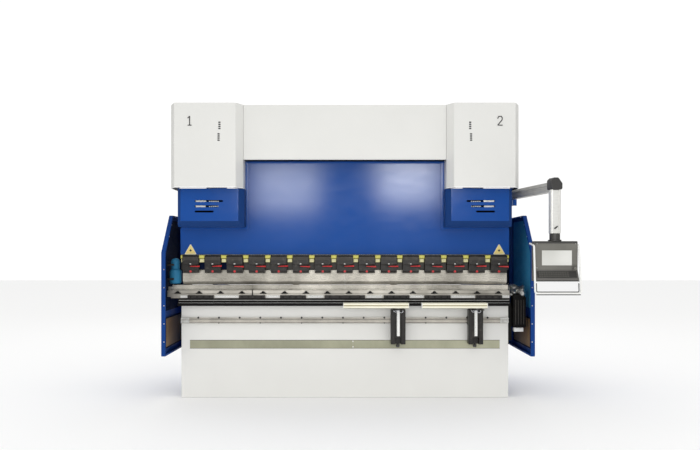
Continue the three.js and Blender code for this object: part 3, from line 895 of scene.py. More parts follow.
def ram():
    """The ram, with its edge strip, a triangular sign at each end and the piston rods."""
    low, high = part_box("ram")
    rounded("ram", BLUE, 0.004)
    trim = shape()
    box(trim, (low.x + 0.004, low.y - 0.0025, low.z + 0.001), (high.x - 0.004, low.y + 0.001, low.z + 0.006))
    placed(trim, "ram_edge_strip", OLIVE, "ram", 0.0008, 1, "blue_paint")
    for side, sign in SIDES:
        centre = Vector((1.510 * sign, 1.448))
        plate = shape()
        prism(plate, triangle(centre, 0.120), "y", low.y - 0.0012, low.y + 0.0005)
        placed(plate, "sign_rim_" + side, LABEL_CREAM, "ram", 0.0003, 1)
        face = shape()
        prism(face, triangle(centre, 0.102), "y", low.y - 0.0016, low.y - 0.0008)
        placed(face, "sign_face_" + side, LABEL_YELLOW, "ram", 0.0002, 1)
        spot = shape()
        rod(spot, (centre.x, low.y - 0.0020, 1.440), (centre.x, low.y - 0.0012, 1.440), 0.013, 4)
        placed(spot, "sign_spot_" + side, LABEL_BLACK, "ram", 0.0001, 1)
        rounded("piston_rod_" + side, CHROME, 0.002)
        flange = shape()
        for spot in circle(CYLINDER_X * sign, 0, 0.048, 6):
            rod(flange, (*spot, RAM_SHOULDER + 0.035), (*spot, RAM_SHOULDER + 0.045), 0.0055, 6)
        placed(flange, "rod_flange_bolts_" + side, ZINC, "ram", 0.0006, 1, "tool_steel")


def triangle(centre, width):
    height = width * 0.866
    return fillet([
        (centre.x - width / 2, centre.y - height * 0.45),
        (centre.x + width / 2, centre.y - height * 0.45),
        (centre.x, centre.y + height * 0.55),
    ], width * 0.05, 4)


def clamps():
    """The clamp plates, and on each one its lever, set screw, spring button and bolts."""
    rounded("clamp_bar", CLAMP_BLACK, 0.002)
    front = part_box("punch_clamp_01")[0].y
    levers, grips, screws, buttons, bolts, ribs = (shape() for _ in range(6))
    for index, x in enumerate(CLAMP_X):
        rounded("punch_clamp_%02d" % (index + 1), CLAMP_BLACK, 0.004)
        tilt = 0.0035 * math.sin(index * 2.1)
        hub = x - 0.012
        rod(levers, (hub, front + 0.016, LEVER_Z), (hub, front - 0.004, LEVER_Z), 0.008, 20)
        elbow = (x + 0.030, front - 0.001, LEVER_Z + tilt * 0.5)
        rod(grips, (hub, front + 0.001, LEVER_Z), elbow, 0.0030, 14, 0.0048)
        rod(grips, elbow, (x + 0.090, front - 0.004, LEVER_Z + tilt), 0.0048, 14, 0.0075)
        rod(screws, (x, front + 0.010, 1.236), (x, front + 0.0005, 1.236), 0.0115, 24)
        rod(screws, (x, front + 0.001, 1.236), (x, front - 0.002, 1.236), 0.006, 6)
        box(buttons, (x - 0.009, front - 0.0025, 1.306), (x + 0.007, front + 0.002, 1.3125))
        for shift in (-0.055, 0.055):
            hex_bolt(bolts, (x + shift, front + 0.0065, 1.381), (0, -1, 0), 0.0055, 0.003)
            hex_bolt(bolts, (x + shift, -0.098, 1.252), (0, -1, 0), 0.007, 0.003)
        box(ribs, (x - 0.0770, front - 0.0022, 1.3440), (x + 0.0770, front + 0.0005, 1.3790))
    placed(levers, "clamp_lever_hubs", BLACK, "ram", 0.0008, 2)
    placed(grips, "clamp_levers", RED, "ram", 0.0010, 2)
    placed(screws, "clamp_set_screws", RED, "ram", 0.0008, 2)
    placed(buttons, "clamp_spring_buttons", SCALE_WHITE, "ram", 0.0015, 2, "tool_steel")
    placed(bolts, "clamp_bolts", BLACK, "ram", 0.0006, 1)
    placed(ribs, "clamp_top_plates", CHARCOAL, "ram", 0.0015, 2)
    pads, pale, plates, blue_gap_shade = shape(), shape(), shape(), shape()
    for index in range(CLAMP_COUNT + 1):
        x = (index - CLAMP_COUNT / 2) * CLAMP_PITCH
        half = 0.0265
        if index in (0, CLAMP_COUNT):
            half = 0.008
            x = (CLAMP_X[0] - 0.090) if index == 0 else (CLAMP_X[-1] + 0.090)
        box(pads, (x - half, -0.092, 1.3620), (x + half, -0.0445, 1.3925))
        box(pale, (x - half + 0.004, -0.084, 1.3250), (x + half - 0.004, -0.0445, 1.3570))
        # Dark plates filling the gaps between the clamps, navy in the two at the left end: painted shade.
        if half > 0.02:
            gap_shade = blue_gap_shade if index < 3 else plates
            box(gap_shade, (x - 0.0260, -0.0520, 1.2570), (x + 0.0260, -0.0445, 1.3190))
    placed(pads, "clamp_wedges", YELLOW, "ram", 0.002, 2)
    placed(pale, "clamp_wedge_feet", PALE_YELLOW, "ram", 0.002, 2)
    placed(plates, "clamp_gap_shade", CHARCOAL, "ram", 0.001, 2)
    placed(blue_gap_shade, "clamp_gap_shade_blue", SHADE_NAVY, "ram", 0.001, 2)


def punches():
    """Each half of the upper tool is two ground segments, a hairline apart."""
    section = [
        (-0.001, 1.107), (0.001, 1.107), (0.022, 1.138), (0.022, 1.247), (0.0065, 1.247),
        (0.0065, 1.285), (-0.0065, 1.285), (-0.0065, 1.247), (-0.022, 1.247), (-0.022, 1.138),
    ]
    for side, sign in SIDES:
        _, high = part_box("punch_right")
        for number, (start, end) in enumerate(((0.0005, 0.7948), (0.7956, high.x))):
            target = shape()
            prism(target, section, "x", start, end)
            piece = "punch_%s_%d" % (side, number + 1)
            finished(
                target, piece, PUNCH_STEEL, "ram", "tool_steel",
                0.0008, 2, ("punch_" + side,), mirror=sign < 0,
            )


# ---- bed, table and die ----
DIE_CLAMP_PITCH = 0.209
DIE_CLAMP_COUNT = 16
HOLDER_LOW = 0.972
HOLDER_FRONT = -0.0503
TABLE_LEFT = -1.625
TABLE_FRONT = -0.088


STRIP_FACE = -0.0435
STRIP_BACK = -0.0403
STRIP_HALF = 1.515
STRIP_SEAM = 0.080
STRIP_LOW, STRIP_HIGH = 0.484, 0.560


def bed():
    """The bed plate, with a strip along it in two lengths, its edge lines, screws and seam pins."""
    rounded("bed_plate", WHITE, 0.004)
    apron = shape()
    for start, end in ((-STRIP_HALF, STRIP_SEAM - 0.0005), (STRIP_SEAM + 0.0005, STRIP_HALF)):
        box(apron, (start, STRIP_FACE, STRIP_LOW), (end, STRIP_BACK, STRIP_HIGH))
    placed(apron, "bed_strip", STRIP_STEEL, "frame", 0.0006, 1, "tool_steel")
    outline = shape()
    reach = STRIP_HALF + 0.003
    for low, high in ((STRIP_HIGH, STRIP_HIGH + 0.0035), (STRIP_LOW - 0.0035, STRIP_LOW)):
        box(outline, (-reach, -0.0418, low), (reach, STRIP_BACK, high))
    placed(outline, "bed_strip_edges", CHARCOAL, "frame", 0.0004, 1, "tool_steel")
    screws = shape()
    for x in (-1.495, -0.950, -0.450, 0.480, 1.000, 1.495):
        hex_bolt(screws, (x, STRIP_FACE, 0.522), (0, -1, 0), 0.006, 0.002)
    placed(screws, "bed_strip_screws", STRIP_STEEL, "frame", 0.0004, 1, "tool_steel")
    pins = shape()
    for z in (0.497, 0.551):
        hex_bolt(pins, (STRIP_SEAM, STRIP_FACE, z), (0, -1, 0), 0.006, 0.002)
    placed(pins, "bed_strip_seam_pins", SCALE_WHITE, "frame", 0.0004, 1, "tool_steel")


def support_rail():
    """Linear rail: a stepped section, screws along both edges and stop plates at each end."""
    low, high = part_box("support_rail")
    middle = (low.z + high.z) / 2
    section = [
        (high.y, low.z), (low.y + 0.004, low.z), (low.y, low.z + 0.004), (low.y, low.z + 0.020),
        (low.y + 0.009, low.z + 0.022), (low.y + 0.009, middle + 0.004), (low.y + 0.002, middle + 0.006),
        (low.y + 0.002, high.z - 0.012), (low.y + 0.010, high.z - 0.010), (low.y + 0.010, high.z),
        (high.y, high.z),
    ]
    rail = shape()
    prism(rail, section, "x", low.x, high.x)
    finished(rail, "support_rail_bar", STEEL, "frame", "tool_steel", 0.001, 2, ("support_rail",))
    lines = shape()
    start, end = low.x + 0.004, high.x - 0.004
    box(lines, (start, low.y - 0.0008, low.z + 0.0030), (end, low.y + 0.001, low.z + 0.0075))
    box(lines, (start, low.y + 0.0012, high.z - 0.0165), (end, low.y + 0.003, high.z - 0.0125))
    placed(lines, "support_rail_edges", BLACK, "frame", 0.0004, 1, "tool_steel")
    screws = shape()
    for index in range(15):
        x = (index - 7) * 0.2016 - 0.018
        hex_bolt(screws, (x, low.y + 0.010, high.z + 0.0005), (0, -1, 0), 0.0090, 0.006)
        if index % 2:
            hex_bolt(screws, (x, low.y, low.z + 0.004), (0, -1, 0), 0.0065, 0.004)
    placed(screws, "support_rail_screws", BLACK, "frame", 0.0006, 1)
    stops = shape()
    for sign in (-1, 1):
        ends = sorted((sign * 1.515, sign * 1.597))
        front = low.y - 0.0024
        box(stops, (ends[0], front, low.z + 0.005), (ends[1], low.y - 0.0009, middle + 0.004))
        box(stops, (ends[0], front, middle + 0.010), (ends[1], low.y + 0.0005, high.z + 0.0012))
    placed(stops, "support_rail_stops", ZINC, "frame", 0.0005, 1, "tool_steel")


def die_table():
    """Black table plate with a steel holder on it, clamp blocks, half-round die clamps and scales."""
    low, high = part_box("die_table")
    top = high.z
    front = TABLE_FRONT
    plate = shape()
    section = [
        (high.y, low.z), (low.y, low.z), (low.y, low.z + 0.024), (low.y + 0.003, low.z + 0.028),
        (front, low.z + 0.028), (front, low.z + 0.0495), (front + 0.010, low.z + 0.0505),
        (front + 0.010, HOLDER_LOW), (high.y - 0.030, HOLDER_LOW), (high.y, low.z + 0.035),
    ]
    prism(plate, section, "x", TABLE_LEFT, high.x)
    finished(plate, "table_plate", SHADOW, "frame", "black_steel", 0.002, 2, ("die_table",))
    lines = shape()
    for z in (low.z + 0.0540, low.z + 0.0280):
        box(lines, (TABLE_LEFT + 0.01, front - 0.0006, z), (high.x - 0.01, front + 0.0120, z + 0.0025))
    placed(lines, "table_edge_lines", SCALE_WHITE, "frame", 0.0004, 1, "tool_steel")
    holder = shape()
    section = [
        (-0.050, HOLDER_LOW + 0.0003), (0.050, HOLDER_LOW + 0.0003), (0.050, top), (-0.050, top),
        (-0.050, 1.019), (-0.0475, 1.0175), (-0.0475, 1.0155), (-0.050, 1.014),
    ]
    prism(holder, section, "x", low.x, high.x)
    placed(holder, "die_holder", STEEL, "frame", 0.0012, 2, "tool_steel")
    table_clamps()
    table_scales()
    die_clamps(low.x)


def table_clamps():
    blocks, studs = shape(), shape()
    for place, half in ((0.0, 0.197), (0.505, 0.125), (0.904, 0.125), (1.405, 0.125)):
        for x in sorted({-place, place}):
            box(blocks, (x - half, -0.0903, 0.9726), (x + half, HOLDER_FRONT, 1.0030))
            box(blocks, (x - half + 0.004, -0.0930, 0.9770), (x + half - 0.004, -0.0903, 0.9975))
            for shift in (-0.75, -0.25, 0.25, 0.75):
                hex_bolt(studs, (x + shift * half, -0.0930, 0.9870), (0, -1, 0), 0.0070, 0.003)
    placed(blocks, "table_clamp_blocks", BLACK, "frame", 0.0015, 2)
    placed(studs, "table_clamp_screws", SHADOW, "frame", 0.0006, 1)


def table_scales():
    """White scales between the clamp blocks, ticked every 5 mm."""
    plates, ticks = shape(), shape()
    for place, half in ((0.288, 0.080), (0.7045, 0.068), (1.1545, 0.118), (1.572, 0.036)):
        for x in (-place, place):
            box(plates, (x - half, -0.0518, 0.9765), (x + half, -0.0504, 1.0005))
            count = int(half / 0.0025)
            for step in range(count):
                tall = 0.013 if step % 10 == 0 else 0.0095 if step % 5 == 0 else 0.006
                at = x - half + 0.004 + step * 0.005
                if at < x + half - 0.004:
                    box(ticks, (at - 0.0006, -0.0522, 0.9990 - tall), (at + 0.0006, -0.0517, 0.9990))
    placed(plates, "table_scales", SCALE_WHITE, "frame", 0.0004, 1, "tool_steel")
    placed(ticks, "table_scale_ticks", LABEL_BLACK, "frame", 0, 1)


def die_clamps(left):
    """Half-round clamps along the holder, the stop pin and the clamp at its left end."""
    hats, pins = shape(), shape()
    for index in range(DIE_CLAMP_COUNT):
        x = -1.633 + index * DIE_CLAMP_PITCH
        if x < left + 0.034:
            x = left + 0.036
        brim = [(x + 0.033 * math.cos(a), 1.0185 + 0.0135 * math.sin(a)) for a in arc_angles(0, math.pi, 14)]
        crown = [(x + 0.015 * math.cos(a), 1.0290 + 0.0150 * math.sin(a)) for a in arc_angles(0, math.pi, 10)]
        prism(hats, brim, "y", -0.0600, HOLDER_FRONT)
        prism(hats, crown, "y", -0.0620, HOLDER_FRONT)
        hex_bolt(pins, (x, -0.0620, 1.0345), (0, -1, 0), 0.0060, 0.0025)
    placed(hats, "die_clamps", SHADOW, "frame", 0.0012, 2)
    placed(pins, "die_clamp_screws", BLACK, "frame", 0.0005, 1)
    stop = shape()
    rod(stop, (-0.903, -0.0560, 0.997), (-0.903, -0.0560, 1.058), 0.0045, 12)
    box(stop, (-0.912, -0.0600, 0.997), (-0.894, HOLDER_FRONT, 1.006))
    placed(stop, "die_stop_pin", BLACK, "frame", 0.0008, 1)
    end_clamp = shape()
    box(end_clamp, (-1.7365, -0.040, 0.985), (-1.7003, 0.040, 1.045))
    box(end_clamp, (-1.7300, -0.026, 1.045), (-1.7010, 0.026, 1.085))
    for z in (1.000, 1.030):
        hex_bolt(end_clamp, (-1.718, -0.040, z), (0, -1, 0), 0.007, 0.005)
    placed(end_clamp, "die_end_clamp", STEEL, "frame", 0.002, 2, "tool_steel")


def die():
    """Lower tool in four lengths: a V on top and a relief groove near its foot."""
    low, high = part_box("die")
    floor = low.z
    top = high.z
    section = [
        (-0.030, floor), (0.030, floor), (0.030, top - 0.0015), (0.0285, top), (0.0125, top),
        (0.0005, top - 0.0125), (-0.0005, top - 0.0125), (-0.0125, top), (-0.0285, top),
        (-0.030, top - 0.0015),
        (-0.030, floor + 0.014), (-0.0275, floor + 0.011), (-0.0275, floor + 0.006), (-0.030, floor + 0.003),
    ]
    seams = [low.x, -0.905, 0.048, 0.86, high.x]
    for number, (start, end) in enumerate(zip(seams, seams[1:])):
        bar = shape()
        prism(bar, section, "x", start + 0.0003, end - 0.0003)
        finished(bar, "die_%d" % (number + 1), PUNCH_STEEL, "frame", "tool_steel", 0.0007, 2, ("die",))


# ---- front sheet supports ----
SLIDER_FRONT = -0.153
ARM_LOW = 0.888


def support(name):
    """One sheet support: bracket on the rail, slider in its channel, profiled arm and locking knob."""
    low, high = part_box("arm_bracket_" + name)
    x = (low.x + high.x) / 2
    support_bracket(name, x)
    support_slider(name, x)
    support_arm(name, x)
    lock_knob(name)


def support_bracket(name, x):
    bracket = "arm_bracket_" + name
    body = "arm_carriage_" + name
    low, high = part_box(bracket)
    rounded(bracket, CLAMP_BLACK, 0.003)
    trim, screws = shape(), shape()
    for side in (-1, 1):
        for z in (low.z + 0.045, high.z - 0.040):
            hex_bolt(screws, (x + side * 0.052, low.y, z), (0, -1, 0), 0.008, 0.004)
        at, y = x + side * 0.052, low.y + 0.036
        box(trim, (at - 0.014, low.y + 0.008, high.z + 0.0005), (at + 0.014, low.y + 0.070, high.z + 0.006))
        rod(trim, (at, y, high.z + 0.006), (at, y, high.z + 0.012), 0.008, 6)
    placed(screws, bracket + "_screws", BLACK, body, 0.001, 2)
    placed(trim, bracket + "_hardware", CHARCOAL, body, 0.001, 2)


def support_slider(name, x):
    """The slider, a ruled scale down its face, and a pair of chrome rings on a bar at its top."""
    slider = "arm_slider_" + name
    lift = "arm_lift_" + name
    rounded(slider, CLAMP_BLACK, 0.002)
    low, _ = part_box(slider)
    scale, ticks = shape(), shape()
    box(scale, (x - 0.0140, SLIDER_FRONT - 0.0012, low.z + 0.014), (x + 0.0140, SLIDER_FRONT - 0.0001, 0.860))
    for step in range(58):
        z = low.z + 0.020 + step * 0.004
        wide = 0.012 if step % 10 == 0 else 0.008 if step % 5 == 0 else 0.005
        left = x - 0.0135
        box(ticks, (left, SLIDER_FRONT - 0.0016, z), (left + wide, SLIDER_FRONT - 0.0011, z + 0.0007))
    placed(scale, slider + "_scale", SCALE_WHITE, lift, 0.0003, 1, "tool_steel")
    placed(ticks, slider + "_ticks", LABEL_BLACK, lift, 0, 1)
    for letter, shift, z, size in (("a", -0.027, 0.860, 0.015), ("b", 0.027, 0.856, 0.017)):
        ring = [(u, SLIDER_FRONT - 0.010, v) for u, v in circle(x + shift, z, size, 24, 0.8)]
        sweep(slider + "_clip_" + letter, ring, 0.0045, CHROME, lift, closed=True)
    clip = shape()
    rod(clip, (x - 0.030, SLIDER_FRONT - 0.010, 0.862), (x + 0.030, SLIDER_FRONT - 0.010, 0.866), 0.005, 14)
    rod(clip, (x, SLIDER_FRONT - 0.0005, 0.864), (x, SLIDER_FRONT - 0.014, 0.864), 0.009, 20)
    placed(clip, slider + "_clip_bar", CHROME, lift, 0.001, 2, "tool_steel")


def support_arm(name, x):
    """The bar, its boss, end caps, and the lines along its slot and edges."""
    arm = "support_arm_" + name
    arm_body = "arm_" + name
    low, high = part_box(arm)
    finished(arm_profile(low, high), arm + "_bar", CREAM, arm_body, "aluminium", 0.0012, 2, (arm,))
    boss = shape()
    pivot_y = (low.y + high.y) / 2
    rod(boss, (x, pivot_y, low.z), (x, pivot_y, 0.8878), 0.028, 36)
    placed(boss, arm + "_boss", ZINC, arm_body, 0.002, 2, "aluminium")
    caps, slot_line = shape(), shape()
    for end, inner in ((low.x, low.x + 0.0045), (high.x, high.x - 0.0045)):
        ends = sorted((end, inner))
        box(caps, (ends[0], low.y + 0.001, 0.889), (ends[1], high.y - 0.001, high.z - 0.001))
    placed(caps, arm + "_end_caps", SCALE_WHITE, arm_body, 0.0015, 2, "aluminium")
    middle = (ARM_LOW + high.z) / 2
    box(
        slot_line, (low.x + 0.006, low.y + 0.0055, middle - 0.0035),
        (high.x - 0.006, low.y + 0.0068, middle + 0.0035),
    )
    placed(slot_line, arm + "_slot_lining", ARM_LINE, arm_body, 0.0003, 1, "aluminium")
    edges = shape()
    for z in (0.8886, high.z - 0.0030):
        box(edges, (low.x + 0.0045, low.y - 0.0006, z), (high.x - 0.0045, low.y + 0.004, z + 0.0026))
    placed(edges, arm + "_edge_lines", ARM_EDGE, arm_body, 0.0003, 1, "aluminium")


def lock_knob(name):
    """A lobed hand wheel with a tapered stem and a button on top."""
    knob = "lock_knob_" + name
    low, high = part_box(knob)
    wheel = shape()
    centre = (low + high) / 2
    rod(wheel, (centre.x, centre.y, low.z), (centre.x, centre.y, high.z - 0.008), 0.016, 24, 0.019)
    lobes = 8
    reach = (high.x - low.x) / 2
    outline = []
    for step in range(lobes * 6):
        angle = step * 2 * math.pi / (lobes * 6)
        distance = reach - 0.003 + 0.003 * math.cos(angle * lobes)
        outline.append((centre.x + distance * math.cos(angle), centre.y + distance * math.sin(angle)))
    prism(wheel, outline, "z", low.z + 0.004, high.z - 0.012)
    rod(wheel, (centre.x, centre.y, high.z - 0.012), (centre.x, centre.y, high.z), 0.009, 20)
    finished(wheel, knob + "_wheel", PLASTIC_DARK, "knob_" + name, SLOT_OF[knob], 0.0012, 2, (knob,))


def arm_profile(low, high):
    """Extruded arm along x, with a slot in each side and one in its top."""
    y = (low.y + high.y) / 2
    half = (high.y - low.y) / 2
    bottom, top = ARM_LOW, high.z
    middle = (bottom + top) / 2
    below, above, deep = middle - 0.004, middle + 0.004, half - 0.007
    slot = [(half, below), (deep, below), (deep, above), (half, above)]
    outline = [(y - half, bottom), (y + half, bottom)]
    outline += [(y + u, z) for u, z in slot]
    outline += [(y + half, top), (y + 0.008, top), (y + 0.008, top - 0.008)]
    outline += [(y - 0.008, top - 0.008), (y - 0.008, top)]
    outline += [(y - half, top)]
    outline += [(y - u, z) for u, z in reversed(slot)]
    target = shape()
    prism(target, outline, "x", low.x + 0.004, high.x - 0.004)
    return target


# ---- back gauge ----
def gauge():
    """Two rails with their drive screws, the beam across them, and a stop finger on each side."""
    for side, sign in SIDES:
        rounded("gauge_rail_" + side, STEEL, 0.002)
        low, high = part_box("gauge_rail_right")
        screws = shape()
        for step in range(8):
            y = low.y + 0.05 + step * 0.1
            hex_bolt(screws, (1.285, y, high.z), (0, 0, 1), 0.007, 0.001)
        placed(screws, "gauge_rail_screws_" + side, BLACK, "frame", 0.0004, 1, "tool_steel", mirror=sign < 0)
        drive = shape()
        rod(drive, (1.232, low.y + 0.02, 0.830), (1.232, high.y - 0.06, 0.830), 0.010, 20)
        box(drive, (1.216, low.y, 0.808), (1.2436, low.y + 0.03, 0.852))
        box(drive, (1.216, high.y - 0.07, 0.808), (1.2436, high.y - 0.03, 0.852))
        placed(drive, "gauge_screw_" + side, CHROME, "frame", 0.001, 2, "tool_steel", mirror=sign < 0)
    rounded("gauge_beam", ALUMINIUM, 0.003)
    low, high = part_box("gauge_beam")
    detail, dark = shape(), shape()
    for z in (0.925, 0.945, 0.965):
        box(dark, (-1.295, low.y + 0.0075, z - 0.003), (1.295, low.y + 0.0083, z + 0.003))
        box(dark, (-1.295, 0.3497, z - 0.003), (1.295, 0.3505, z + 0.003))
    placed(dark, "gauge_beam_slots", PLASTIC_DARK, "gauge", 0.0004, 1, "aluminium")
    box(detail, (-1.29, 0.292, high.z + 0.0002), (1.29, 0.300, high.z + 0.0005))
    box(detail, (-1.29, 0.328, high.z + 0.0002), (1.29, 0.336, high.z + 0.0005))
    placed(detail, "gauge_beam_ways", STEEL, "gauge", 0.0001, 1, "tool_steel")
    for side, sign in SIDES:
        node = "gauge_finger_" + side
        rounded(node, STEEL, 0.002)
        low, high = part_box(node)
        x = (low.x + high.x) / 2
        knobs = shape()
        rod(knobs, (x, 0.335, 1.050), (x, 0.335, 1.072), 0.014, 24, 0.012)
        rod(knobs, (x + 0.030, 0.300, 1.020), (x + 0.042, 0.300, 1.020), 0.012, 24)
        placed(knobs, node + "_knob", PLASTIC_DARK, "finger_" + side, 0.0015, 2)
        tip = shape()
        box(tip, (x - 0.024, low.y - 0.002, 1.1085), (x + 0.024, low.y + 0.001, 1.1285))
        hex_bolt(tip, (x, 0.120, 1.130), (0, 0, 1), 0.008, 0.004)
        hex_bolt(tip, (x, 0.200, 1.130), (0, 0, 1), 0.008, 0.004)
        placed(tip, node + "_tip", CHROME, "finger_" + side, 0.001, 2, "tool_steel")


# ---- pendant ----
PENDANT_FRONT = -0.745
PENDANT_BACK = -0.640
PENDANT_TOP = 1.520


def boom_frame():
    """Unit vector along the boom from its pivot to the drop tube, and both places."""
    low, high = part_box("drop_tube")
    drop = Vector(((low.x + high.x) / 2, (low.y + high.y) / 2))
    pivot = Vector((1.700, 0.220))
    return pivot, drop, (drop - pivot).normalized()


def pendant_arm():
    """The boom with its elbow and hub, the bracket it turns on, and the drop tube."""
    pivot, drop, along = boom_frame()
    side = Vector((-along.y, along.x))
    base, top = 1.958, 2.046
    length = (drop - pivot).length

    def at(out, z, run):
        place = pivot + along * run + side * out
        return Vector((place.x, place.y, z))

    half = 0.030
    flank = [(half, base), (half, 1.987), (0.024, 1.990), (0.024, 2.014), (half, 2.017), (half, top)]
    flank += [(0.008, top), (0.006, 2.040)]
    profile = flank + [(-out, z) for out, z in reversed(flank)]
    target = shape()
    prism(target, profile, at, 0.030, length - 0.045)
    finished(target, "boom_profile", BOOM_GREY, "boom", "aluminium", 0.001, 2, ("pendant_boom",))
    elbow = shape()
    half = 0.050
    outline = [
        (drop.x - half, 1.975), (drop.x + half, 1.975), (drop.x + half, 2.030), (drop.x + 0.012, 2.080),
        (drop.x - 0.030, 2.080), (drop.x - half, 2.058),
    ]
    prism(elbow, fillet(outline, 0.014, 5), "y", drop.y - half, drop.y + half)
    rod(elbow, (drop.x, drop.y, 1.9700), (drop.x, drop.y, 1.9755), 0.047, 36)
    heading = math.atan2(along.x, -along.y)
    bmesh.ops.rotate(elbow, cent=(*drop, 0), matrix=Matrix.Rotation(heading, 3, "Z"), verts=elbow.verts)
    placed(elbow, "boom_elbow", ELBOW_GREY, "boom", 0.004, 4, "aluminium")
    hub = shape()
    rod(hub, (pivot.x, pivot.y, base), (pivot.x, pivot.y, top), 0.045, 40)
    rod(hub, (pivot.x, pivot.y, top), (pivot.x, pivot.y, top + 0.006), 0.032, 32)
    placed(hub, "boom_hub", MACHINE_GREY, "boom", 0.004, 3, "aluminium")
    rounded("pendant_bracket", BLUE, 0.003)
    low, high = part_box("drop_tube")
    centre = (low + high) / 2
    groove = 0.020
    outline = fillet([
        (-0.046, -0.040), (groove, -0.040), (groove, -0.034), (groove + 0.006, -0.034),
        (groove + 0.006, -0.040), (0.046, -0.040), (0.046, 0.040), (-0.046, 0.040),
    ], 0.016, 6, skip=(1, 2, 3, 4))
    tube = shape()
    outline = [(centre.x + u, centre.y + v) for u, v in outline]
    prism(tube, outline, "z", low.z, high.z)
    body = NODES["drop_tube"]["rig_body"]
    finished(tube, "drop_tube_body", ALUMINIUM, body, "aluminium", 0.0012, 2, ("drop_tube",))
    clip = shape()
    y = centre.y - 0.046
    rod(clip, (centre.x - 0.016, y, low.z + 0.040), (centre.x + 0.012, y, low.z + 0.062), 0.006, 12)
    placed(clip, "drop_tube_clip", LABEL_BLACK, body, 0.001, 1, "aluminium")


def pendant():
    """Control pendant: a moulded case with a bezel and pale screen, a sloping key shelf and a tube handle."""
    low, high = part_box("pendant_case")
    pendant_case(low.x, high.x)
    pendant_screen()
    pendant_keys(low.x, high.x)
    pendant_handle(low.x, high.x)
    pendant_fittings(low.x, high.x)
    start_button()


def pendant_case(x0, x1):
    front, back, top = PENDANT_FRONT, PENDANT_BACK, PENDANT_TOP
    case = shape()
    section = fillet([
        (back, top), (front + 0.010, top), (front, top - 0.010), (front, 1.262), (-0.785, 1.190),
        (-0.785, 1.167), (back, 1.167),
    ], 0.006, 3)
    prism(case, section, "x", x0, x1)
    finished(case, "pendant_shell", PLASTIC_GREY, "pendant", "pendant_grey", 0.005, 4, ("pendant_case",))
    face = shape()
    notch_x, notch_z = 1.9965, 1.3035
    outline = [
        (x0 + 0.006, 1.268), (notch_x, 1.268), (notch_x, notch_z), (x1 - 0.006, notch_z), (x1 - 0.006, 1.500),
        (x0 + 0.006, 1.500),
    ]
    prism(face, outline, "y", front - 0.0030, front + 0.001)
    placed(face, "pendant_face", FACE_GREY, "pendant", 0.002, 3, "pendant_grey")
    bands = shape()
    box(bands, (x0 + 0.004, front - 0.0036, 1.5005), (x1 - 0.004, front + 0.006, top - 0.004))
    box(bands, (x0 + 0.002, -0.7865, 1.1655), (x1 - 0.002, -0.7700, 1.1760))
    placed(bands, "pendant_dark_bands", PLASTIC_DARK, "pendant", 0.0015, 2, "pendant_grey")


def pendant_screen():
    front = PENDANT_FRONT
    rim = shape()
    for left, bottom, right, above in (
        (1.7270, 1.4380, 2.0030, 1.4440), (1.7270, 1.3000, 2.0030, 1.3060),
        (1.7270, 1.3060, 1.7330, 1.4380), (1.9970, 1.3060, 2.0030, 1.4380),
    ):
        box(rim, (left, front - 0.0046, bottom), (right, front - 0.0028, above))
    placed(rim, "pendant_screen_rim", FACE_GREY, "pendant", 0.0006, 2, "pendant_grey")
    screen = shape()
    box(screen, (1.7332, front - 0.0040, 1.3062), (1.9968, front - 0.0028, 1.4378))
    placed(screen, "pendant_screen", SCREEN, "pendant", 0.0004, 1, "pendant_grey")


def pendant_keys(x0, x1):
    """Rows of keys on a pad, in the frame of the sloping shelf."""
    slope = Vector((0, -0.040, -0.072)).normalized()
    normal = Vector((0, -0.072, 0.040)).normalized()
    shelf_top = Vector((0, PENDANT_FRONT, 1.262))
    frame_of = Matrix((
        (1, slope.x, normal.x, 0), (0, slope.y, normal.y, 0), (0, slope.z, normal.z, 0), (0, 0, 0, 1),
    ))
    place = Matrix.Translation(shelf_top) @ frame_of
    keys, pad = shape(), shape()
    box(pad, (x0 + 0.016, 0.008, 0.0001), (x1 - 0.016, 0.074, 0.0022), place)
    placed(pad, "pendant_key_pad", PLASTIC_DARK, "pendant", 0.0008, 2, "pendant_grey")
    for row in range(3):
        for column in range(13):
            x = x0 + 0.040 + column * 0.0205
            y = 0.022 + row * 0.019
            box(keys, (x - 0.0080, y - 0.0072, 0.0022), (x + 0.0080, y + 0.0072, 0.0050), place)
    placed(keys, "pendant_keys", KEY_GREY, "pendant", 0.001, 2, "pendant_grey")


def pendant_handle(x0, x1):
    """A bent tube around the case's lower half, with a dark inlay and foot."""
    back = PENDANT_BACK
    handle_z = 1.062
    path = round_path([
        (x0 - 0.006, back + 0.030, 1.500), (x0 - 0.006, -0.750, 1.480), (x0 - 0.006, -0.790, handle_z),
        (x1 + 0.016, -0.790, handle_z), (x1 + 0.006, -0.750, 1.480), (x1 + 0.006, back + 0.030, 1.500),
    ], 0.022)
    sweep("pendant_handle", path, 0.0090, SCALE_WHITE, "pendant")
    inlay = round_path([
        (x0 + 0.006, -0.783, 1.150), (x0 + 0.006, -0.790, handle_z + 0.012),
        (x1 - 0.004, -0.790, handle_z + 0.012), (x1 - 0.004, -0.783, 1.150),
    ], 0.012)
    sweep("pendant_handle_inlay", inlay, 0.0042, LABEL_BLACK, "pendant")
    underside = [(x0 + 0.004, -0.790, handle_z - 0.012), (x1 + 0.010, -0.790, handle_z - 0.012)]
    sweep("pendant_handle_foot", underside, 0.0042, LABEL_BLACK, "pendant")


def pendant_fittings(x0, x1):
    top = PENDANT_TOP
    collar = shape()
    rod(collar, (1.860, -0.700, top), (1.860, -0.700, top + 0.0675), 0.046, 44)
    rod(collar, (1.860, -0.700, top), (1.860, -0.700, top + 0.012), 0.058, 44)
    placed(collar, "pendant_collar", PLASTIC_DARK, "pendant", 0.003, 3, "pendant_grey")
    screws = shape()
    for x in (x0 + 0.020, x1 - 0.020):
        for z in (1.497, 1.284):
            hex_bolt(screws, (x, PENDANT_FRONT - 0.004, z), (0, -1, 0), 0.0042, 0.001)
    placed(screws, "pendant_screws", ZINC, "pendant", 0.0003, 1, "tool_steel")


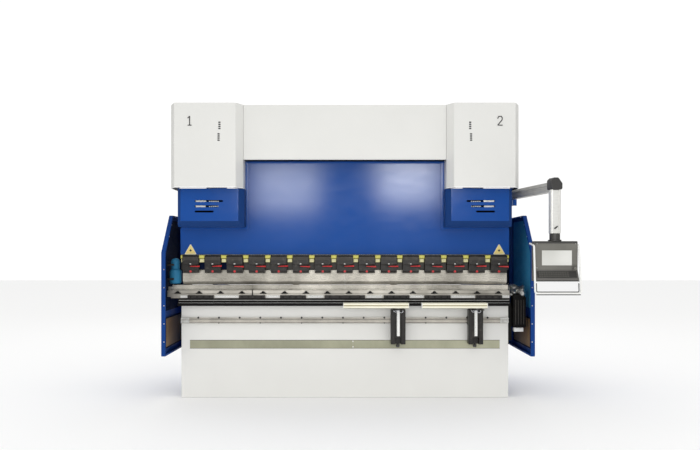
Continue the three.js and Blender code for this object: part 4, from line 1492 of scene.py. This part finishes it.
def start_button():
    """The button and a ring of short blocks around it, standing clear of it on all sides."""
    ring = shape()
    low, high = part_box("start_button")
    x = (low.x + high.x) / 2
    bore = (high.x - low.x) / 2 + 0.0012
    for step in range(32):
        corners = []
        for radius, turn in ((bore, step), (bore + 0.005, step), (bore + 0.005, step + 1), (bore, step + 1)):
            angle = turn * math.pi / 16
            corners.append((x + radius * math.cos(angle), 1.280 + radius * math.sin(angle)))
        prism(ring, corners, "y", PENDANT_FRONT - 0.003, PENDANT_FRONT + 0.001)
    bmesh.ops.remove_doubles(ring, verts=ring.verts, dist=1e-6)
    placed(ring, "start_button_ring", FACE_GREY, "pendant", 0, 1, "pendant_grey")
    rounded("start_button", FACE_GREY, 0.0012, 2)


# ---- right-hand end of the bed ----
def crumpled(target, centre, size, seed, detail=4):
    """A crushed wrapping: a ball pushed in and out by seeded random amounts."""
    dice = random.Random(seed)
    part = bmesh.new()
    bmesh.ops.create_icosphere(part, subdivisions=detail, radius=0.5)
    folds = [Vector([dice.uniform(-1, 1) for _ in range(3)]).normalized() for _ in range(26)]
    for vert in part.verts:
        direction = vert.co.normalized()
        depth = 0
        for index, fold in enumerate(folds):
            depth += abs(direction.dot(fold)) ** 7 * (0.16 if index % 2 else -0.13)
        vert.co = direction * (0.46 + depth)
    place = Matrix.Translation(centre) @ Matrix.Diagonal((*size, 1))
    bmesh.ops.transform(part, matrix=place, verts=part.verts)
    absorb(target, part)


def end_box():
    """Valve and hose box at the bed's right end, wrapped gland above it and a socket below."""
    case = shape()
    corners = [(1.640, 0.690), (1.762, 0.690), (1.762, 0.985), (1.735, 1.012), (1.640, 1.012)]
    outline = fillet(corners, 0.010, 4)
    prism(case, outline, "y", -0.085, 0.040)
    placed(case, "end_box_case", SHADOW, "frame", 0.004, 3)
    mounts = shape()
    for z in (0.730, 0.860):
        box(mounts, (1.6005, -0.020, z), (1.6395, 0.020, z + 0.040))
    # A tall black block between the bed end and the box: painted shade.
    box(mounts, (1.6005, -0.0300, 0.560), (1.6360, 0.0300, 0.895))
    placed(mounts, "end_box_mounts_and_shade", SHADOW, "frame", 0.002, 2)
    ribs = shape()
    for step in range(4):
        x = 1.662 + step * 0.026
        box(ribs, (x - 0.0035, -0.0900, 0.720), (x + 0.0035, -0.0850, 0.960))
    placed(ribs, "end_box_ribs", CHARCOAL, "frame", 0.0012, 2)
    wrap = shape()
    for number, (place, size) in enumerate((
        ((1.690, -0.020, 1.050), (0.110, 0.100, 0.090)), ((1.728, -0.035, 1.062), (0.085, 0.085, 0.070)),
        ((1.655, -0.025, 1.032), (0.070, 0.080, 0.060)),
    )):
        crumpled(wrap, place, size, 11 + number)
    placed(wrap, "hose_wrapping", FOIL, "frame", 0, 1, "tool_steel")
    socket = shape()
    box(socket, (1.652, -0.070, 0.648), (1.742, -0.010, 0.684))
    for x in (1.664, 1.697, 1.730):
        box(socket, (x - 0.010, -0.066, 0.684), (x + 0.010, -0.020, 0.702))
    placed(socket, "end_socket", SCALE_WHITE, "frame", 0.003, 2, "white_paint")


# ---- structure, hydraulics, cabinet ----
TANK_BACK = 0.6003
MOTOR_Y, MOTOR_Z = 0.735, 2.520
PIPE_TOP = 2.722
CABINET_WALL = 1.392


def structure():
    """Side frames, ram guides, and each cylinder with the bolts under its flange."""
    for side, sign in SIDES:
        rounded("side_frame_" + side, BLUE, 0.004)
        rounded("ram_guide_" + side, STEEL, 0.002)
        cylinder = "cylinder_" + side
        rounded(cylinder, MACHINE_GREY, 0.003)
        bolts = shape()
        for spot in circle(CYLINDER_X, 0, 0.112, 12, first=0.2):
            rod(bolts, (*spot, CYLINDER_FOOT), (*spot, CYLINDER_FOOT - 0.012), 0.009, 6)
        placed(bolts, cylinder + "_bolts", ZINC, "frame", 0.0006, 1, "tool_steel", mirror=sign < 0)


def oil_tank():
    """The tank, with ribs, a bolted hatch lid with its breather, and a level glass."""
    rounded("oil_tank", BLUE, 0.004)
    _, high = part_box("oil_tank")
    ribs = shape()
    for x in (-0.9, -0.45, 0.45, 0.9):
        box(ribs, (x - 0.005, TANK_BACK, 2.262), (x + 0.005, 0.618, 2.688))
    box(ribs, (-1.30, TANK_BACK, 2.640), (-0.95, 0.604, 2.690))
    placed(ribs, "tank_ribs", BLUE, "frame", 0.002, 2, "blue_paint")
    hatch = shape()
    corners = fillet([(-0.83, 0.23), (-0.37, 0.23), (-0.37, 0.55), (-0.83, 0.55)], 0.020, 5)
    prism(hatch, corners, "z", high.z + 0.0003, high.z + 0.008)
    placed(hatch, "tank_hatch_lid", BLUE, "frame", 0.0015, 2, "blue_paint")
    bolts = shape()
    for x in (-0.810, -0.705, -0.600, -0.495, -0.390):
        for y in (0.248, 0.532):
            hex_bolt(bolts, (x, y, high.z + 0.008), (0, 0, 1), 0.009, 0.007)
    placed(bolts, "tank_hatch_bolts", ZINC, "frame", 0.0006, 1, "tool_steel")
    cap = shape()
    rod(cap, (-0.6, 0.4, high.z + 0.0083), (-0.6, 0.4, high.z + 0.038), 0.047, 36)
    rod(cap, (-0.6, 0.4, high.z + 0.038), (-0.6, 0.4, high.z + 0.054), 0.032, 8)
    placed(cap, "tank_breather", BLACK, "frame", 0.003, 3, "cylinder_grey")
    gauge_body, glass = shape(), shape()
    box(gauge_body, (0.62, TANK_BACK, 2.36), (0.66, 0.614, 2.60))
    box(glass, (0.631, 0.614, 2.385), (0.649, 0.618, 2.575))
    placed(gauge_body, "tank_level_frame", ZINC, "frame", 0.002, 2, "tool_steel")
    placed(glass, "tank_level_glass", LABEL_YELLOW, "frame", 0.002, 2, "tool_steel")


def pump_motor():
    """The motor and the cooling fins around it."""
    rounded("pump_motor", MACHINE_GREY, 0.003)
    fins = shape()
    for step in range(26):
        angle = math.radians(-60 + step * 360 / 30)
        turn = Matrix.Translation((0, MOTOR_Y, MOTOR_Z)) @ Matrix.Rotation(angle, 4, "X")
        box(fins, (0.100, -0.0018, 0.108), (0.420, 0.0018, 0.120), turn)
    placed(fins, "motor_fins", MACHINE_GREY, "frame", 0.0006, 1, "cylinder_grey")


def hydraulics():
    """Steel pipes from the pump to each cylinder's valve block, behind the crown."""
    for side, sign in SIDES:
        for number in range(2):
            back = number * 0.04
            rise = number * 0.0135
            pump_x = 0.02 + sign * 0.02
            path = round_path([
                (pump_x, MOTOR_Y - back, 2.605 + number * 0.03),
                (pump_x, MOTOR_Y - back, PIPE_TOP + rise),
                (sign * 0.60, 0.68 - back, PIPE_TOP + rise),
                (sign * 1.20, 0.30 - back, PIPE_TOP + rise),
                (sign * 1.26, 0.125, PIPE_TOP - 0.007 + rise),
            ], 0.045)
            sweep("pressure_pipe_%s_%d" % (side, number + 1), path, 0.011, ZINC, "frame")


def cabinet():
    """Cabinet and door, with a handle and louvres on the door and rows of modules inside."""
    rounded("electrical_cabinet", BLUE, 0.003)
    rounded("cabinet_door", BLUE, 0.003)
    low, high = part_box("cabinet_door")
    handle = shape()
    face = high.x
    box(handle, (face, low.y + 0.030, 1.240), (face + 0.014, low.y + 0.056, 1.400))
    rod(handle, (face, low.y + 0.043, 1.385), (face + 0.020, low.y + 0.043, 1.385), 0.014, 28)
    placed(handle, "cabinet_handle", BLACK, "cabinet_door", 0.003, 3)
    louvres = shape()
    for bank in (0.64, 1.86):
        for step in range(9):
            z = bank + step * 0.016
            box(louvres, (face - 0.001, 0.90, z), (face + 0.0035, 1.12, z + 0.006))
    placed(louvres, "cabinet_louvres", GUARD_BLUE, "cabinet_door", 0.0015, 2, "blue_paint")
    plate = shape()
    box(plate, (1.384, 0.780, 0.56), (CABINET_WALL, 1.240, 2.04))
    placed(plate, "cabinet_plate", ZINC, "frame", 0.001, 1, "tool_steel")
    modules, ducts = shape(), shape()
    for row, z in enumerate((0.70, 1.00, 1.30, 1.60, 1.86)):
        box(ducts, (CABINET_WALL, 0.80, z - 0.06), (1.440, 1.22, z - 0.02))
        for column in range(7):
            y = 0.83 + column * 0.054
            tall = 0.10 + 0.03 * ((row + column) % 3)
            deep = 1.470 + 0.012 * ((column * 3 + row) % 4)
            box(modules, (CABINET_WALL, y - 0.022, z), (deep, y + 0.022, z + tall))
    placed(modules, "cabinet_modules", PLASTIC_GREY, "frame", 0.002, 2, "pendant_grey")
    placed(ducts, "cabinet_ducts", SCALE_WHITE, "frame", 0.002, 1, "pendant_grey")


def build():
    studio()
    for side, sign in SIDES:
        cylinder_cover(side, sign)
        rod_cover(side, sign)
        cover_marks(side, sign)
        guard(side, sign)
    top_panel()
    ram()
    clamps()
    punches()
    bed()
    support_rail()
    die_table()
    die()
    support("1")
    support("2")
    gauge()
    pendant_arm()
    pendant()
    end_box()
    structure()
    oil_tank()
    pump_motor()
    hydraulics()
    cabinet()


build()
